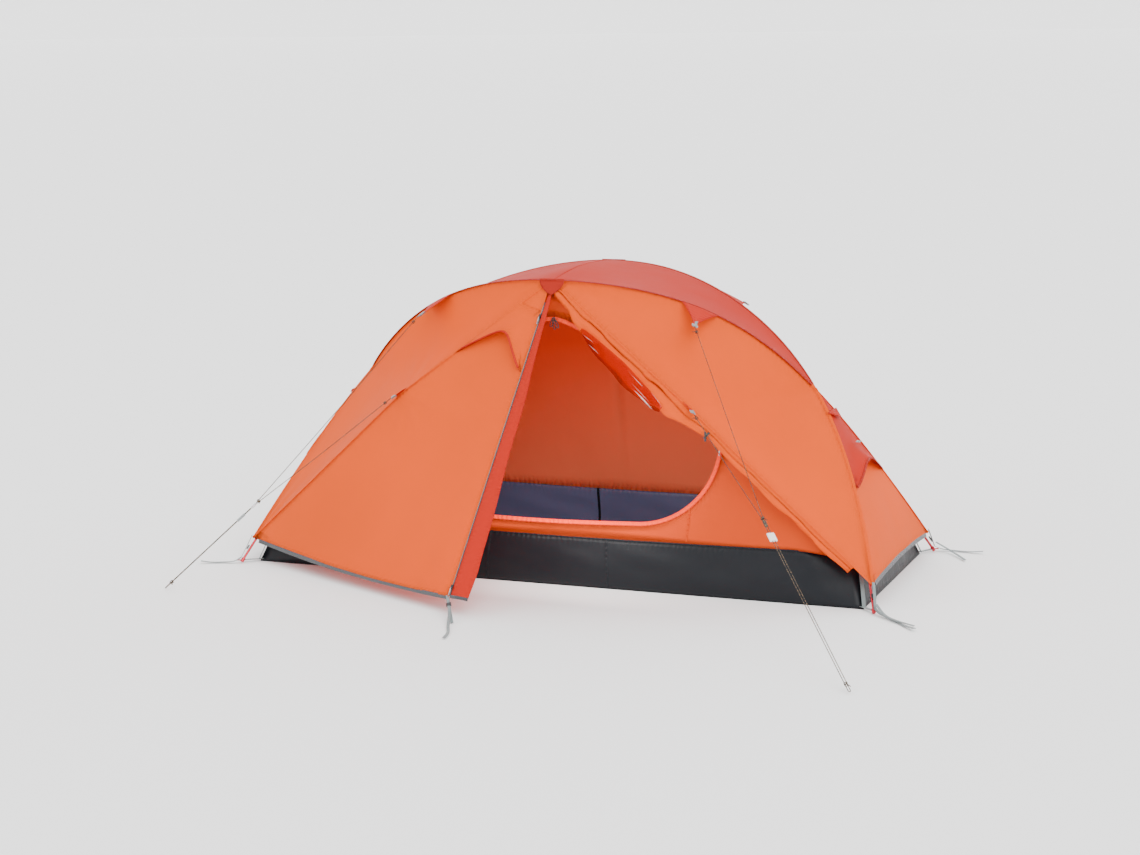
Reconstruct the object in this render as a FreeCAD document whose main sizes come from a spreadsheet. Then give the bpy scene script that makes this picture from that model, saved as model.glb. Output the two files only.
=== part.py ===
import FreeCAD, Part
import math
import os
from FreeCAD import Vector

# Two-pole ridge tent, pitched.  Millimetres.  X runs along the tent, -Y is the door side, Z is up,
# and the origin is the middle of the floor's underside, on the ground.

SIZES = [
    # the pitched frame
    ("foot_span", 2300.0),          # between the pole feet along the tent
    ("foot_depth", 882.0),          # between the pole feet across the tent
    ("foot_height", 17.0),          # pole end above the ground
    ("ridge_height", 1035.0),       # fly seam over each pole at mid-length
    ("ridge_gap", 598.0),           # between the two ridge seams at mid-length
    ("pole_diameter", 8.5),
    ("pole_wall", 0.65),
    ("pole_fit", 0.1),              # radial gap between a section and the ferrule in it
    ("ferrule_length", 70.0),
    ("ferrule_wall", 0.6),
    ("shock_cord_diameter", 2.5),
    ("ridge_pole_rise", 9.0),
    # covers
    ("fabric", 0.8),
    ("seam_gap", 0.5),              # each panel stops this far short of its seam line
    ("fly_gap", 16.0),              # fly seam line to the line of the poles
    ("inner_gap", 26.0),            # pole line to the seam of the hung tent
    ("fly_hem_height", 82.0),
    ("crease_out", 415.0),          # guyed crease, out from the middle
    ("crease_along", 523.0),
    ("crease_height", 642.0),
    ("door_corner_along", -155.0),
    ("door_corner_out", 865.0),
    ("door_corner_height", 60.0),
    ("back_corner_out", 620.0),
    ("hem_binding", 11.0),
    ("corner_bare", 30.0),          # hem without binding, either side of a foot
    ("flap_width", 56.0),
    # tub and inner tent
    ("floor_length", 2224.0),
    ("floor_width", 802.0),
    ("tub_height", 176.0),
    ("tub_corner_height", 150.0),
    ("wall_lean", 0.104),
    ("door_radius", 298.0),
    ("door_arc_along", 315.0),
    ("door_arc_height", 350.0),
    ("door_left", -450.0),
    ("zip_piping", 5.0),
    # hardware
    ("zip_tape", 8.8),
    ("slider_length", 16.0),
    ("pull_length", 26.0),
    ("webbing_width", 16.0),
    ("webbing", 1.2),
    ("buckle_length", 13.0),
    ("foot_cup_radius", 6.5),
    ("foot_cup_length", 16.0),
    ("cord_diameter", 2.4),
    ("strand_gap", 8.0),
    ("ring_radius", 11.0),
    ("tensioner_length", 34.0),
    ("running_gap", 0.4),
]

SECTIONS = 9                        # sections in each long pole
RISE = {2: 0.4911, 4: 0.3217, 6: 0.1872}
SIDE = {2: 1.4959, 4: -2.8230, 6: 3.1319, 8: -0.8048}

doc = FreeCAD.newDocument("tent")
sheet = doc.addObject("Spreadsheet::Sheet", "Sizes")
for row, (alias, value) in enumerate(SIZES, start=1):
    sheet.set("A%d" % row, alias)
    sheet.set("B%d" % row, str(value))
    sheet.setAlias("B%d" % row, alias)
doc.recompute()

subparts = []


def size(alias):
    return float(getattr(sheet, alias))


def unit(vector):
    return Vector(vector).normalize()


def mix(start, end, share):
    return start + (end - start) * share


def mirrored(point, along=1, across=1):
    return Vector(point.x * along, point.y * across, point.z)


def add(label, shape):
    """A finished sub-part as an object of the document, under its own label."""
    feature = doc.addObject("Part::Feature", label)
    feature.Label = label
    feature.Shape = shape
    feature.Placement = FreeCAD.Placement()
    subparts.append(feature)
    return feature


def keep(label, feature):
    """Takes a parametric feature into the list of sub-parts."""
    feature.Label = label
    subparts.append(feature)
    return feature


def group(shapes):
    return Part.makeCompound(list(shapes))


def axes_at(origin, along, up):
    """Placement whose X runs along, and whose Z is as near to up as it can be."""
    x_axis = unit(along)
    y_axis = unit(up.cross(x_axis))
    z_axis = x_axis.cross(y_axis)
    matrix = FreeCAD.Matrix(
        x_axis.x, y_axis.x, z_axis.x, origin.x,
        x_axis.y, y_axis.y, z_axis.y, origin.y,
        x_axis.z, y_axis.z, z_axis.z, origin.z,
        0, 0, 0, 1)
    return FreeCAD.Placement(matrix)


def block(length, width, height, place, middle=Vector()):
    """Box centred on a point of the placement's own axes."""
    corner = middle - Vector(length / 2, width / 2, height / 2)
    box = Part.makeBox(length, width, height, corner)
    box.Placement = place.multiply(box.Placement)
    return box


def rod(radius, start, end):
    return Part.makeCylinder(radius, (end - start).Length, start, end - start)


def sleeve(outer, inner, start, end):
    return rod(outer, start, end).cut(rod(inner, start, end))


# ---------------------------------------------------------------- swept paths

def bent_path(points, share):
    """Straight runs joined by tangent arcs that take up a share of the shorter run beside them."""
    edges = []
    start = points[0]
    for before, corner, after in zip(points, points[1:], points[2:]):
        come = unit(corner - before)
        leave = unit(after - corner)
        turn = come.getAngle(leave)
        reach = share * min((corner - before).Length, (after - corner).Length)
        radius = reach / math.tan(turn / 2)
        inward = unit(leave - come)
        centre = corner + inward * (radius / math.cos(turn / 2))
        first = corner - come * reach
        last = corner + leave * reach
        edges.append(Part.LineSegment(start, first).toShape())
        edges.append(Part.Arc(first, centre - inward * radius, last).toShape())
        start = last
    edges.append(Part.LineSegment(start, points[-1]).toShape())
    return Part.Wire(edges)


def swept(path, radius, bore=0.0):
    """Round bar, or tube, along a path of tangent edges."""
    start = path.Edges[0].firstVertex().Point
    heading = path.Edges[0].tangentAt(path.Edges[0].FirstParameter)
    face = Part.Face(Part.Wire(Part.makeCircle(radius, start, heading)))
    if bore:
        face = face.cut(Part.Face(Part.Wire(Part.makeCircle(bore, start, heading)))).Faces[0]
    solid = path.makePipe(face)
    expected = math.pi * (radius ** 2 - bore ** 2) * path.Length
    if abs(solid.Volume - expected) > 0.02 * expected:
        raise ValueError("a sweep lost its section")
    return solid.Solids[0] if solid.Solids else solid


# ---------------------------------------------------------------- cloth as thin closed solids

def closed_solid(points, triangles):
    shell = Part.Shape()
    shell.makeShapeFromMesh((points, triangles), 0.001)
    solid = Part.Solid(Part.Shell(shell.Faces))
    if solid.Volume < 0:
        solid.reverse()
    return solid


def grid_normals(grid):
    rows = len(grid)
    columns = len(grid[0])
    normals = []
    for i in range(rows):
        line = []
        for j in range(columns):
            down = grid[min(i + 1, rows - 1)][j] - grid[max(i - 1, 0)][j]
            over = grid[i][min(j + 1, columns - 1)] - grid[i][max(j - 1, 0)]
            line.append(unit(down.cross(over)))
        normals.append(line)
    return normals


def cloth(grid, inside, thickness):
    """Closed sheet: the grid is its outer face and its thickness goes towards a point inside."""
    rows = len(grid)
    columns = len(grid[0])
    normals = grid_normals(grid)
    centre = grid[rows // 2][columns // 2]
    if normals[rows // 2][columns // 2].dot(inside - centre) < 0:
        normals = [[-normal for normal in line] for line in normals]
    outer = [point for line in grid for point in line]
    inner = [grid[i][j] + normals[i][j] * thickness for i in range(rows) for j in range(columns)]
    shift = rows * columns
    triangles = []
    for i in range(rows - 1):
        for j in range(columns - 1):
            a = i * columns + j
            b = a + 1
            c = a + columns
            d = c + 1
            triangles += [(a, b, d), (a, d, c)]
            triangles += [(shift + a, shift + d, shift + b), (shift + a, shift + c, shift + d)]
    rim = [j for j in range(columns)]
    rim += [i * columns + columns - 1 for i in range(1, rows)]
    rim += [(rows - 1) * columns + j for j in range(columns - 2, -1, -1)]
    rim += [i * columns for i in range(rows - 2, 0, -1)]
    for a, b in zip(rim, rim[1:] + rim[:1]):
        triangles += [(a, shift + a, b), (b, shift + a, shift + b)]
    return closed_solid(outer + inner, triangles)


def pulled_in(line, gap):
    """A line of points with both its ends drawn in."""
    first = line[0] + unit(line[1] - line[0]) * gap
    last = line[-1] + unit(line[-2] - line[-1]) * gap
    return [first] + line[1:-1] + [last]


def panel(edge_a, edge_b, inside, columns=2, bulge=0.0, gap=None, thickness=None):
    """Panel ruled between two seam lines of as many points, short of each of them by the gap."""
    gap = size("seam_gap") if gap is None else gap
    thickness = size("fabric") if thickness is None else thickness
    edge_a = pulled_in(edge_a, gap)
    edge_b = pulled_in(edge_b, gap)
    grid = []
    for a, b in zip(edge_a, edge_b):
        heading = unit(b - a) * gap
        line = [mix(a + heading, b - heading, j / columns) for j in range(columns + 1)]
        grid.append(line)
    if bulge:
        normals = grid_normals(grid)
        middle = len(grid) // 2
        side = -1 if normals[middle][1].dot(inside - grid[middle][1]) > 0 else 1
        last = len(grid) - 1
        for i, line in enumerate(grid):
            for j in range(columns + 1):
                rise = bulge * math.sin(math.pi * j / columns) * math.sin(math.pi * i / last)
                line[j] = line[j] + normals[i][j] * side * rise
    return cloth(grid, inside, thickness)


def ribbon(points, across, width, thickness):
    """Flat strap along a few points; across is its width's direction."""
    sections = []
    for i, point in enumerate(points):
        heading = unit(points[min(i + 1, len(points) - 1)] - points[max(i - 1, 0)])
        thick = unit(heading.cross(across)) * (thickness / 2)
        wide = unit(thick.cross(heading)) * (width / 2)
        sections.append([point + wide + thick, point - wide + thick,
                         point - wide - thick, point + wide - thick])
    return stacked(sections)


def stacked(sections):
    """Closed solid through a row of outlines of as many points each."""
    count = len(sections[0])
    points = [point for section in sections for point in section]
    triangles = []
    for i in range(len(sections) - 1):
        for j in range(count):
            a = i * count + j
            b = i * count + (j + 1) % count
            triangles += [(a, b, a + count), (b, b + count, a + count)]
    end = (len(sections) - 1) * count
    for j in range(1, count - 1):
        triangles += [(0, j + 1, j), (end, end + j, end + j + 1)]
    return closed_solid(points, triangles)


# ---------------------------------------------------------------- the line of the poles

def line_of_poles(u, side):
    """Seam line over a pole; u goes from foot (-1) to foot (1), side is +1 for feet at the back."""
    rise = sum(share * u ** power for power, share in RISE.items())
    drift = sum(share * u ** power for power, share in SIDE.items())
    height = size("ridge_height") - (size("ridge_height") - size("foot_height")) * rise
    half_gap = size("ridge_gap") / 2
    out = -half_gap + (half_gap + size("foot_depth") / 2) * drift
    return Vector(u * size("foot_span") / 2, side * out, height)


def outward(u, side):
    point = line_of_poles(u, side)
    lean = max(-1.0, min(1.0, point.y / 80.0)) * 0.5
    return unit(Vector(u, lean, math.sqrt(max(0.0, 1 - u * u))))


def pole_point(u, side):
    """Pole axis: under the seam line, and the pole with its feet in front crosses over the other."""
    lift = (size("pole_diameter") + size("running_gap")) / 2
    over = Vector(u, 0, math.sqrt(max(0.0, 1 - u * u))) * (-side * lift)
    sink = outward(u, side) * (-size("fly_gap") * (1 - u ** 8))
    return line_of_poles(u, side) + sink + over


def fly_point(u, side):
    return line_of_poles(u, side) + outward(u, side) * (size("fly_gap") * u ** 8)


def stations():
    """Shares of the half span at which the pole turns: evenly spaced along it, half a run at the ends."""
    samples = [i / 400.0 for i in range(401)]
    lengths = [0.0]
    for a, b in zip(samples, samples[1:]):
        lengths.append(lengths[-1] + (line_of_poles(b, 1) - line_of_poles(a, 1)).Length)
    wanted = [lengths[-1] * 2 * i / SECTIONS for i in range(SECTIONS // 2 + 1)]
    found = []
    for goal in wanted:
        index = next(i for i, length in enumerate(lengths) if length >= goal)
        found.append(samples[index])
    found.append(1.0)
    return found


HALF_STATIONS = stations()          # from the middle of the pole to its foot


def along_run(point_of, share_from, share_to, share, side):
    return mix(point_of(share_from, side), point_of(share_to, side), share)


def crossing_share():
    """Where on its run each line crosses the tent's middle plane."""
    for a, b in zip(HALF_STATIONS, HALF_STATIONS[1:]):
        first = line_of_poles(a, 1).y
        last = line_of_poles(b, 1).y
        if first < 0 <= last:
            return a, b, -first / (last - first)
    raise ValueError("the poles never cross")


CROSS_FROM, CROSS_TO, CROSS_AT = crossing_share()


def cross_point(point_of):
    point = along_run(point_of, CROSS_FROM, CROSS_TO, CROSS_AT, 1)
    return Vector(point.x, 0, point.z)


def hem_share():
    top = fly_point(HALF_STATIONS[-2], 1).z
    foot = fly_point(1.0, 1).z
    return (top - size("fly_hem_height")) / (top - foot)


def top_line(point_of):
    """Half of a seam over the ridge, from the middle to the crossing, on the door side."""
    upper = [u for u in HALF_STATIONS if u <= CROSS_FROM]
    points = []
    for a, b in zip(upper, upper[1:]):
        points.append(point_of(a, 1))
        points.append(along_run(point_of, a, b, 0.5, 1))
    points.append(point_of(upper[-1], 1))
    return points


def leg_line(point_of, low_height):
    """The front leg's seam below the crossing, down to a height."""
    lower = [u for u in HALF_STATIONS if u >= CROSS_TO]
    points = []
    for a, b in zip(lower, lower[1:]):
        points.append(point_of(a, -1))
        if b < 1.0:
            points.append(along_run(point_of, a, b, 0.5, -1))
    top = point_of(HALF_STATIONS[-2], -1)
    foot = point_of(1.0, -1)
    points.append(mix(top, foot, (top.z - low_height) / (top.z - foot.z)))
    return points


def inner_point(u, side):
    """Seam line of the hung tent: the same distance under the fly's seam all along."""
    return line_of_poles(u, side) - outward(u, side) * (size("fly_gap") + size("inner_gap") - 10 * u ** 8)


# ---------------------------------------------------------------- long poles

def pole_vertices(side):
    shares = [-u for u in reversed(HALF_STATIONS)] + HALF_STATIONS[1:]
    return [pole_point(u, side) for u in shares]


def pole_joints(vertices):
    joints = [vertices[0]]
    joints += [mix(a, b, 0.5) for a, b in zip(vertices[1:-1], vertices[2:-1])]
    joints.append(vertices[-1])
    return joints


def build_long_poles():
    radius = size("pole_diameter") / 2
    bore = radius - size("pole_wall")
    ferrule_radius = bore - size("pole_fit")
    ferrules = []
    tips = []
    cords = []
    for side, label in ((1, "pole_back_footed_sections"), (-1, "pole_front_footed_sections")):
        vertices = pole_vertices(side)
        joints = pole_joints(vertices)
        sections = []
        for start, bend, end in zip(joints, vertices[1:-1], joints[1:]):
            path = bent_path([start, bend, end], 0.8)
            sections.append(swept(path, radius, bore))
        add(label, group(sections))
        for before, joint, after in zip(vertices[1:], joints[1:-1], vertices[2:]):
            half = unit(after - before) * (size("ferrule_length") / 2)
            inner = ferrule_radius - size("ferrule_wall")
            ferrules.append(sleeve(ferrule_radius, inner, joint - half, joint + half))
        for end, bend in ((vertices[0], vertices[1]), (vertices[-1], vertices[-2])):
            heading = unit(bend - end)
            plug = rod(ferrule_radius, end + heading * 0.3, end + heading * 20)
            nose = rod(3.0, end - heading * 12, end + heading * 0.3)
            tips.append(plug.fuse(nose).removeSplitter())
        inset = [joints[0] + unit(vertices[1] - vertices[0]) * 21]
        inset += vertices[1:-1]
        inset.append(joints[-1] + unit(vertices[-2] - vertices[-1]) * 21)
        cords.append(shock_cord(inset, vertices, joints))
    add("pole_ferrules", group(ferrules))
    add("pole_tips", group(tips))
    add("pole_shock_cords", group(cords))


def shock_cord(inset, vertices, joints):
    """Elastic cord along the very path of its pole's sections."""
    edges = []
    starts = [inset[0]] + joints[1:-1]
    ends = joints[1:-1] + [inset[-1]]
    for start, bend, end, left, right in zip(starts, vertices[1:-1], ends, joints, joints[1:]):
        whole = bent_path([left, bend, right], 0.8)
        arc = whole.Edges[1]
        edges.append(Part.LineSegment(start, arc.firstVertex(True).Point).toShape())
        edges.append(arc)
        edges.append(Part.LineSegment(arc.lastVertex(True).Point, end).toShape())
    return swept(Part.Wire(edges), size("shock_cord_diameter") / 2)


def build_ridge_pole():
    """Short bowed pole laid across the two long ones under the fly's ridge."""
    radius = size("pole_diameter") / 2
    vertices = pole_vertices(-1)
    middle = len(vertices) // 2
    joints = pole_joints(vertices)
    arc = bent_path([joints[middle - 1], vertices[middle], joints[middle]], 0.8).Edges[1]
    crown = arc.valueAt((arc.FirstParameter + arc.LastParameter) / 2)
    height = crown.z + size("pole_diameter") + size("running_gap")
    reach = abs(crown.y) + 2
    crest = Vector(0, 0, height + size("ridge_pole_rise"))
    path = Part.Wire([Part.Arc(Vector(0, -reach, height), crest, Vector(0, reach, height)).toShape()])
    add("ridge_pole", swept(path, radius, radius - size("pole_wall")))


def build_feet():
    """Red end fittings: a blind cup for the pole's nose, with a flat hook plate beside it."""
    feet = []
    cup = size("foot_cup_radius")
    length = size("foot_cup_length")
    for side in (1, -1):
        vertices = pole_vertices(side)
        for end, bend in ((vertices[0], vertices[1]), (vertices[-1], vertices[-2])):
            heading = unit(bend - end)
            body = rod(cup, end - heading * length, end - heading * 0.3)
            hollow = rod(3.0 + size("pole_fit"), end - heading * 12.5, end)
            out = Vector(end.x, end.y, 0)
            place = axes_at(end - heading * (length / 2), out, Vector(0, 0, 1))
            hook = block(17, 9, 2.6, place, Vector(12, 0, 0))
            eye = Part.makeCylinder(2.4, 8, Vector(15, 0, -4))
            eye.Placement = place
            feet.append(body.fuse(hook).cut(hollow).cut(eye).removeSplitter())
    add("pole_feet", group(feet))


def clip_places():
    """Middles of the runs that carry a clip: (pole side, outer share, inner share, sign of x)."""
    places = []
    for side in (1, -1):
        for a, b in zip(HALF_STATIONS, HALF_STATIONS[1:]):
            if a == CROSS_FROM or b == 1.0:
                continue
            for sign in (1, -1):
                places.append((side, a, b, sign))
    return places


def build_clips():
    """Snap clips round the poles, each with a tab down to the seam of the hung tent."""
    radius = size("pole_diameter") / 2 + size("running_gap")
    clips = []
    for side, a, b, sign in clip_places():
        middle = mirrored(along_run(pole_point, a, b, 0.5, side), sign)
        seam = mirrored(along_run(inner_point, a, b, 0.5, side), sign)
        heading = unit(mirrored(pole_point(b, side) - pole_point(a, side), sign))
        half = heading * 6
        ring = sleeve(radius + 1.8, radius, middle - half, middle + half)
        down = seam - middle
        down = unit(down - heading * down.dot(heading))
        depth = (seam - middle).dot(down)
        place = axes_at(middle, heading, down)
        long_tab = depth - 0.6 - radius - 0.4
        tab = block(12, 2.4, long_tab, place, Vector(0, 0, radius + 0.4 + long_tab / 2))
        clips.append(ring.fuse(tab).removeSplitter())
    add("pole_clips", group(clips))


# ---------------------------------------------------------------- fly sheet

def crease_line(along=1, across=-1):
    """Guyed crease from the ridge down to the fly's corner."""
    top = Vector(fly_point(0.0, 1))
    tab = Vector(size("crease_along"), -size("crease_out"), size("crease_height"))
    corner = leg_line(fly_point, size("fly_hem_height"))[-1]
    upper = len(top_line(fly_point)) - 1
    lower = len(leg_line(fly_point, size("fly_hem_height")))
    points = [mix(top, tab, i / upper) for i in range(upper)]
    points += [mix(tab, corner, i / lower) for i in range(lower + 1)]
    return [mirrored(point, along, -across) for point in points]


def seam_line(point_of, low_height, along=1, across=-1):
    """Over the pole from the middle of the ridge to the crossing, then down the near leg."""
    points = top_line(point_of) + [cross_point(point_of)] + leg_line(point_of, low_height)
    return [mirrored(point, along, -across) for point in points]


def short_start(line_a, line_b, width):
    """Drops the shared point at the start and begins where the two lines are a width apart."""
    gap = (line_a[1] - line_b[1]).Length
    share = width / gap
    first_a = mix(line_a[0], line_a[1], share)
    first_b = mix(line_b[0], line_b[1], share)
    return [first_a] + line_a[1:], [first_b] + line_b[1:]


def short_ends(line_a, line_b, width):
    line_a, line_b = short_start(line_a, line_b, width)
    line_a, line_b = short_start(line_a[::-1], line_b[::-1], width)
    return line_a[::-1], line_b[::-1]


INSIDE = Vector(0, 0, 300)


def build_fly():
    hem = size("fly_hem_height")
    seam = [mirrored(p, -1) for p in top_line(fly_point)[::-1]] + top_line(fly_point)[1:]
    left = mirrored(cross_point(fly_point), -1)
    seam = [left] + seam + [cross_point(fly_point)]
    far = [mirrored(point, 1, -1) for point in seam]
    line_a, line_b = short_ends(seam, far, 24)
    add("fly_ridge_panel", panel(line_a, line_b, INSIDE, 4, 14))
    for along, name in ((-1, "left"), (1, "right")):
        for across, face in ((-1, "front"), (1, "back")):
            line_a = seam_line(fly_point, hem, along, across)
            line_b = crease_line(along, across)
            line_a, line_b = short_ends(line_a, line_b, 24)
            add("fly_%s_upper_%s" % (face, name), panel(line_a, line_b, INSIDE))
    door = door_line()
    line_a, line_b = short_start(crease_line(-1, -1), door, 30)
    tape = size("zip_tape") / 2
    line_b = [point - door_across() * tape for point in line_b]
    add("fly_vestibule_panel", panel(line_a, line_b, INSIDE, 3))
    line_a = crease_line(-1, 1)
    line_b = crease_line(1, 1)
    middle = back_line()
    build_back_panel(line_a, middle, line_b)
    build_ends(hem)


def door_line():
    """Zip line from the ridge to the door's corner, with a point for each of the crease's."""
    top = fly_point(0.0, 1)
    corner = Vector(size("door_corner_along"), -size("door_corner_out"), size("door_corner_height"))
    count = len(crease_line()) - 1
    return [mix(top, corner, i / count) for i in range(count + 1)]


def door_across():
    """Across the zip, in the cloth, towards the open side."""
    line = door_line()
    heading = unit(line[-1] - line[0])
    tab = Vector(-size("crease_along"), -size("crease_out"), size("crease_height"))
    normal = unit((tab - line[0]).cross(line[-1] - line[0]))
    across = unit(normal.cross(heading))
    return across if across.x > 0 else -across


def back_line():
    top = mirrored(fly_point(0.0, 1), 1, -1)
    corner = Vector(0, size("back_corner_out"), size("door_corner_height"))
    count = len(crease_line()) - 1
    return [mix(top, corner, i / count) for i in range(count + 1)]


def build_back_panel(left, middle, right):
    gap = size("seam_gap")
    grid = []
    for i in range(1, len(left)):
        a = left[i] + unit(middle[i] - left[i]) * gap
        b = right[i] + unit(middle[i] - right[i]) * gap
        grid.append([a, mix(a, middle[i], 0.5), middle[i], mix(middle[i], b, 0.5), b])
    ahead = 24 / (left[1] - right[1]).Length
    grid.insert(0, [mix(middle[0], point, ahead) for point in grid[0]])
    grid[-1] = [point + unit(above - point) * gap for point, above in zip(grid[-1], grid[-2])]
    add("fly_back_panel", cloth(grid, INSIDE, size("fabric")))


def end_lines(along, point_of, low):
    front = [cross_point(point_of)] + leg_line(point_of, low)
    front = [mirrored(point, along) for point in front]
    back = [mirrored(point, 1, -1) for point in front]
    return front, back


def build_ends(hem):
    """Each end of the fly: a dark upper panel down to its vent, and a light one below it."""
    for along, name in ((-1, "left"), (1, "right")):
        front, back = end_lines(along, fly_point, hem)
        upper_a, upper_b = short_start(front[:3], back[:3], 24)
        add("fly_end_upper_" + name, panel(upper_a, upper_b, INSIDE))
        add("fly_end_lower_" + name, panel(front[2:], back[2:], INSIDE))


def hem_strip(line, down, stop_first, stop_last):
    """Binding under a hem line: a seam's gap below the cloth, and short of the corners' webbing."""
    gap = size("seam_gap")
    line = pulled_in(line[:2], stop_first)[:1] + line[1:-1] + pulled_in(line[-2:], stop_last)[1:]
    upper = [point + down * gap for point in line]
    lower = [point + down * size("hem_binding") for point in line]
    return cloth([upper, lower], INSIDE, size("fabric") * 2)


def build_hem_bindings():
    hem = size("fly_hem_height")
    strips = []
    corner = crease_line(-1, -1)[-1]
    door = door_line()[-1] - door_across() * (size("zip_tape") / 2)
    at_corner = size("corner_bare")
    at_door = size("seam_gap")
    strips.append(hem_strip([corner, mix(corner, door, 0.5), door], Vector(0, 0, -1), at_corner, at_door))
    back = back_line()[-1]
    left = crease_line(-1, 1)[-1]
    right = crease_line(1, 1)[-1]
    strips.append(hem_strip([left, back, right], Vector(0, 0, -1), at_corner, at_corner))
    for along in (-1, 1):
        front, rear = end_lines(along, fly_point, hem)
        middle = mix(front[-1], rear[-1], 0.5)
        down = unit(middle - mix(front[-2], rear[-2], 0.5))
        strips.append(hem_strip([front[-1], middle, rear[-1]], down, at_corner, at_corner))
    add("fly_hem_bindings", group(strips))


def build_door_edge():
    """Zip tape along the cut edge, and the storm flap that covers it."""
    line = door_line()
    across = door_across()
    heading = unit(line[-1] - line[0])
    half = size("zip_tape") / 2
    gap = size("seam_gap")
    top = line[0] + heading * 70
    foot = line[-1]
    points = [mix(top, foot, i / 6) for i in range(7)]
    tape_a = [point - across * (half - gap) for point in points]
    tape_b = [point + across * (half - gap) for point in points]
    add("fly_zip_tape", cloth([tape_a, tape_b], INSIDE, size("fabric")))
    flap_a = [point + across * (half + gap) for point in points]
    flap_b = [a + across * size("flap_width") * min(1.0, 0.45 + i * 0.2) for i, a in enumerate(flap_a)]
    add("fly_storm_flap", cloth([flap_a, flap_b], INSIDE, size("fabric")))


def rolled_door_lines():
    """Stations down the right crease: points on it, middles of the roll, and its half widths."""
    crease = crease_line(1, -1)
    halves = (16.0, 27.0, 34.0, 32.0, 20.0, 13.0, 12.0, 12.0, 11.0, 10.0)
    towards = unit(Vector(-0.75, -0.16, -0.66))
    seam = []
    middles = []
    for i, half in enumerate(halves, start=1):
        share = i / (len(halves) + 0.6) * (len(crease) - 1)
        low = int(share)
        on_crease = mix(crease[low], crease[low + 1], share - low)
        seam.append(on_crease)
        middles.append(on_crease + towards * (half + 12))
    return seam, middles, halves


def build_rolled_door():
    """The right door, rolled up along its crease: fullest above the toggle, thin below it."""
    seam, path, halves = rolled_door_lines()
    sections = []
    strip = []
    for i, (middle, half) in enumerate(zip(path, halves)):
        heading = unit(path[min(i + 1, len(path) - 1)] - path[max(i - 1, 0)])
        wide = seam[i] - middle
        wide = unit(wide - heading * wide.dot(heading))
        thick = unit(wide.cross(heading))
        section = []
        for j in range(10):
            turn = 2 * math.pi * j / 10
            section.append(middle + wide * (half * math.cos(turn))
                           + thick * (min(half, 17.0) * 0.8 * math.sin(turn)))
        sections.append(section)
        strip.append(middle + wide * half)
    towards = [unit(b - a) for a, b in zip(seam, strip)]
    upper = [a + heading * 1.2 for a, heading in zip(seam, towards)]
    lower = [b - heading * 0.6 for b, heading in zip(strip, towards)]
    apron = cloth([upper, lower], INSIDE, size("fabric"))
    add("fly_rolled_door", group([stacked(sections), apron]))


def hood(base, drop, out, inside):
    """Bowed vent hood: sewn along the base line, its lip held off the cloth."""
    count = len(base) - 1
    lip = []
    for i, point in enumerate(base):
        bow = math.sin(math.pi * i / count)
        lip.append(point + drop * (0.45 + 0.55 * bow) + out * (2 + 44 * bow))
    rows = [base, [mix(a, b, 0.5) + out * 5 for a, b in zip(base, lip)], lip]
    return cloth(rows, inside, size("fabric"))


def build_hoods():
    """Vent hoods on the closed side of the door and on both ends."""
    crease = crease_line(-1, -1)
    door = door_line()
    lift = 1.4
    normal = unit((crease[4] - door[0]).cross(door[-1] - door[0]))
    if normal.y > 0:
        normal = -normal
    start = mix(crease[2], door[2], 0.15)
    end = mix(crease[1], door[1], 0.65)
    base = [mix(start, end, i / 6) + normal * lift for i in range(7)]
    down = unit(door[-1] - door[0]) * 62
    hoods = [hood(base, down, normal, INSIDE)]
    for along in (-1, 1):
        front, back = end_lines(along, fly_point, size("fly_hem_height"))
        out = unit((back[2] - front[2]).cross(front[3] - front[2]))
        if out.x * along < 0:
            out = -out
        line_a = mix(front[2], back[2], 0.22)
        line_b = mix(front[2], back[2], 0.78)
        down = unit(mix(front[3], back[3], 0.5) - mix(front[2], back[2], 0.5)) * 46
        base = [mix(line_a, line_b, i / 6) + out * lift + down * 0.05 for i in range(7)]
        hoods.append(hood(base, down, out, INSIDE))
    add("fly_vent_hoods", group(hoods))


# ---------------------------------------------------------------- tub and inner tent

def build_floor():
    """Floor cloth as a padded sketch, tied to the sheet."""
    body = doc.addObject("PartDesign::Body", "tub_floor_body")
    sketch = body.newObject("Sketcher::SketchObject", "floor_outline")
    plane = next(f for f in body.Origin.OriginFeatures if f.Role == "XY_Plane")
    sketch.AttachmentSupport = (plane, "")
    sketch.MapMode = "FlatFace"
    half = (size("floor_length") / 2, size("floor_width") / 2)
    corners = [Vector(-half[0], -half[1], 0), Vector(half[0], -half[1], 0),
               Vector(half[0], half[1], 0), Vector(-half[0], half[1], 0)]
    for start, end in zip(corners, corners[1:] + corners[:1]):
        sketch.addGeometry(Part.LineSegment(start, end), False)
    import Sketcher
    for i in range(4):
        sketch.addConstraint(Sketcher.Constraint("Coincident", i, 2, (i + 1) % 4, 1))
    sketch.addConstraint(Sketcher.Constraint("Horizontal", 0))
    sketch.addConstraint(Sketcher.Constraint("Horizontal", 2))
    sketch.addConstraint(Sketcher.Constraint("Vertical", 1))
    sketch.addConstraint(Sketcher.Constraint("Vertical", 3))
    sketch.addConstraint(Sketcher.Constraint("Symmetric", 0, 1, 1, 2, -1, 1))
    long_side = sketch.addConstraint(Sketcher.Constraint("DistanceX", 0, 1, 0, 2, half[0] * 2))
    short_side = sketch.addConstraint(Sketcher.Constraint("DistanceY", 1, 1, 1, 2, half[1] * 2))
    sketch.setExpression("Constraints[%d]" % long_side, "Sizes.floor_length")
    sketch.setExpression("Constraints[%d]" % short_side, "Sizes.floor_width")
    pad = body.newObject("PartDesign::Pad", "floor_cloth")
    pad.Profile = sketch
    pad.setExpression("Length", "Sizes.fabric")
    doc.recompute()
    keep("tub_floor", body)


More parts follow.
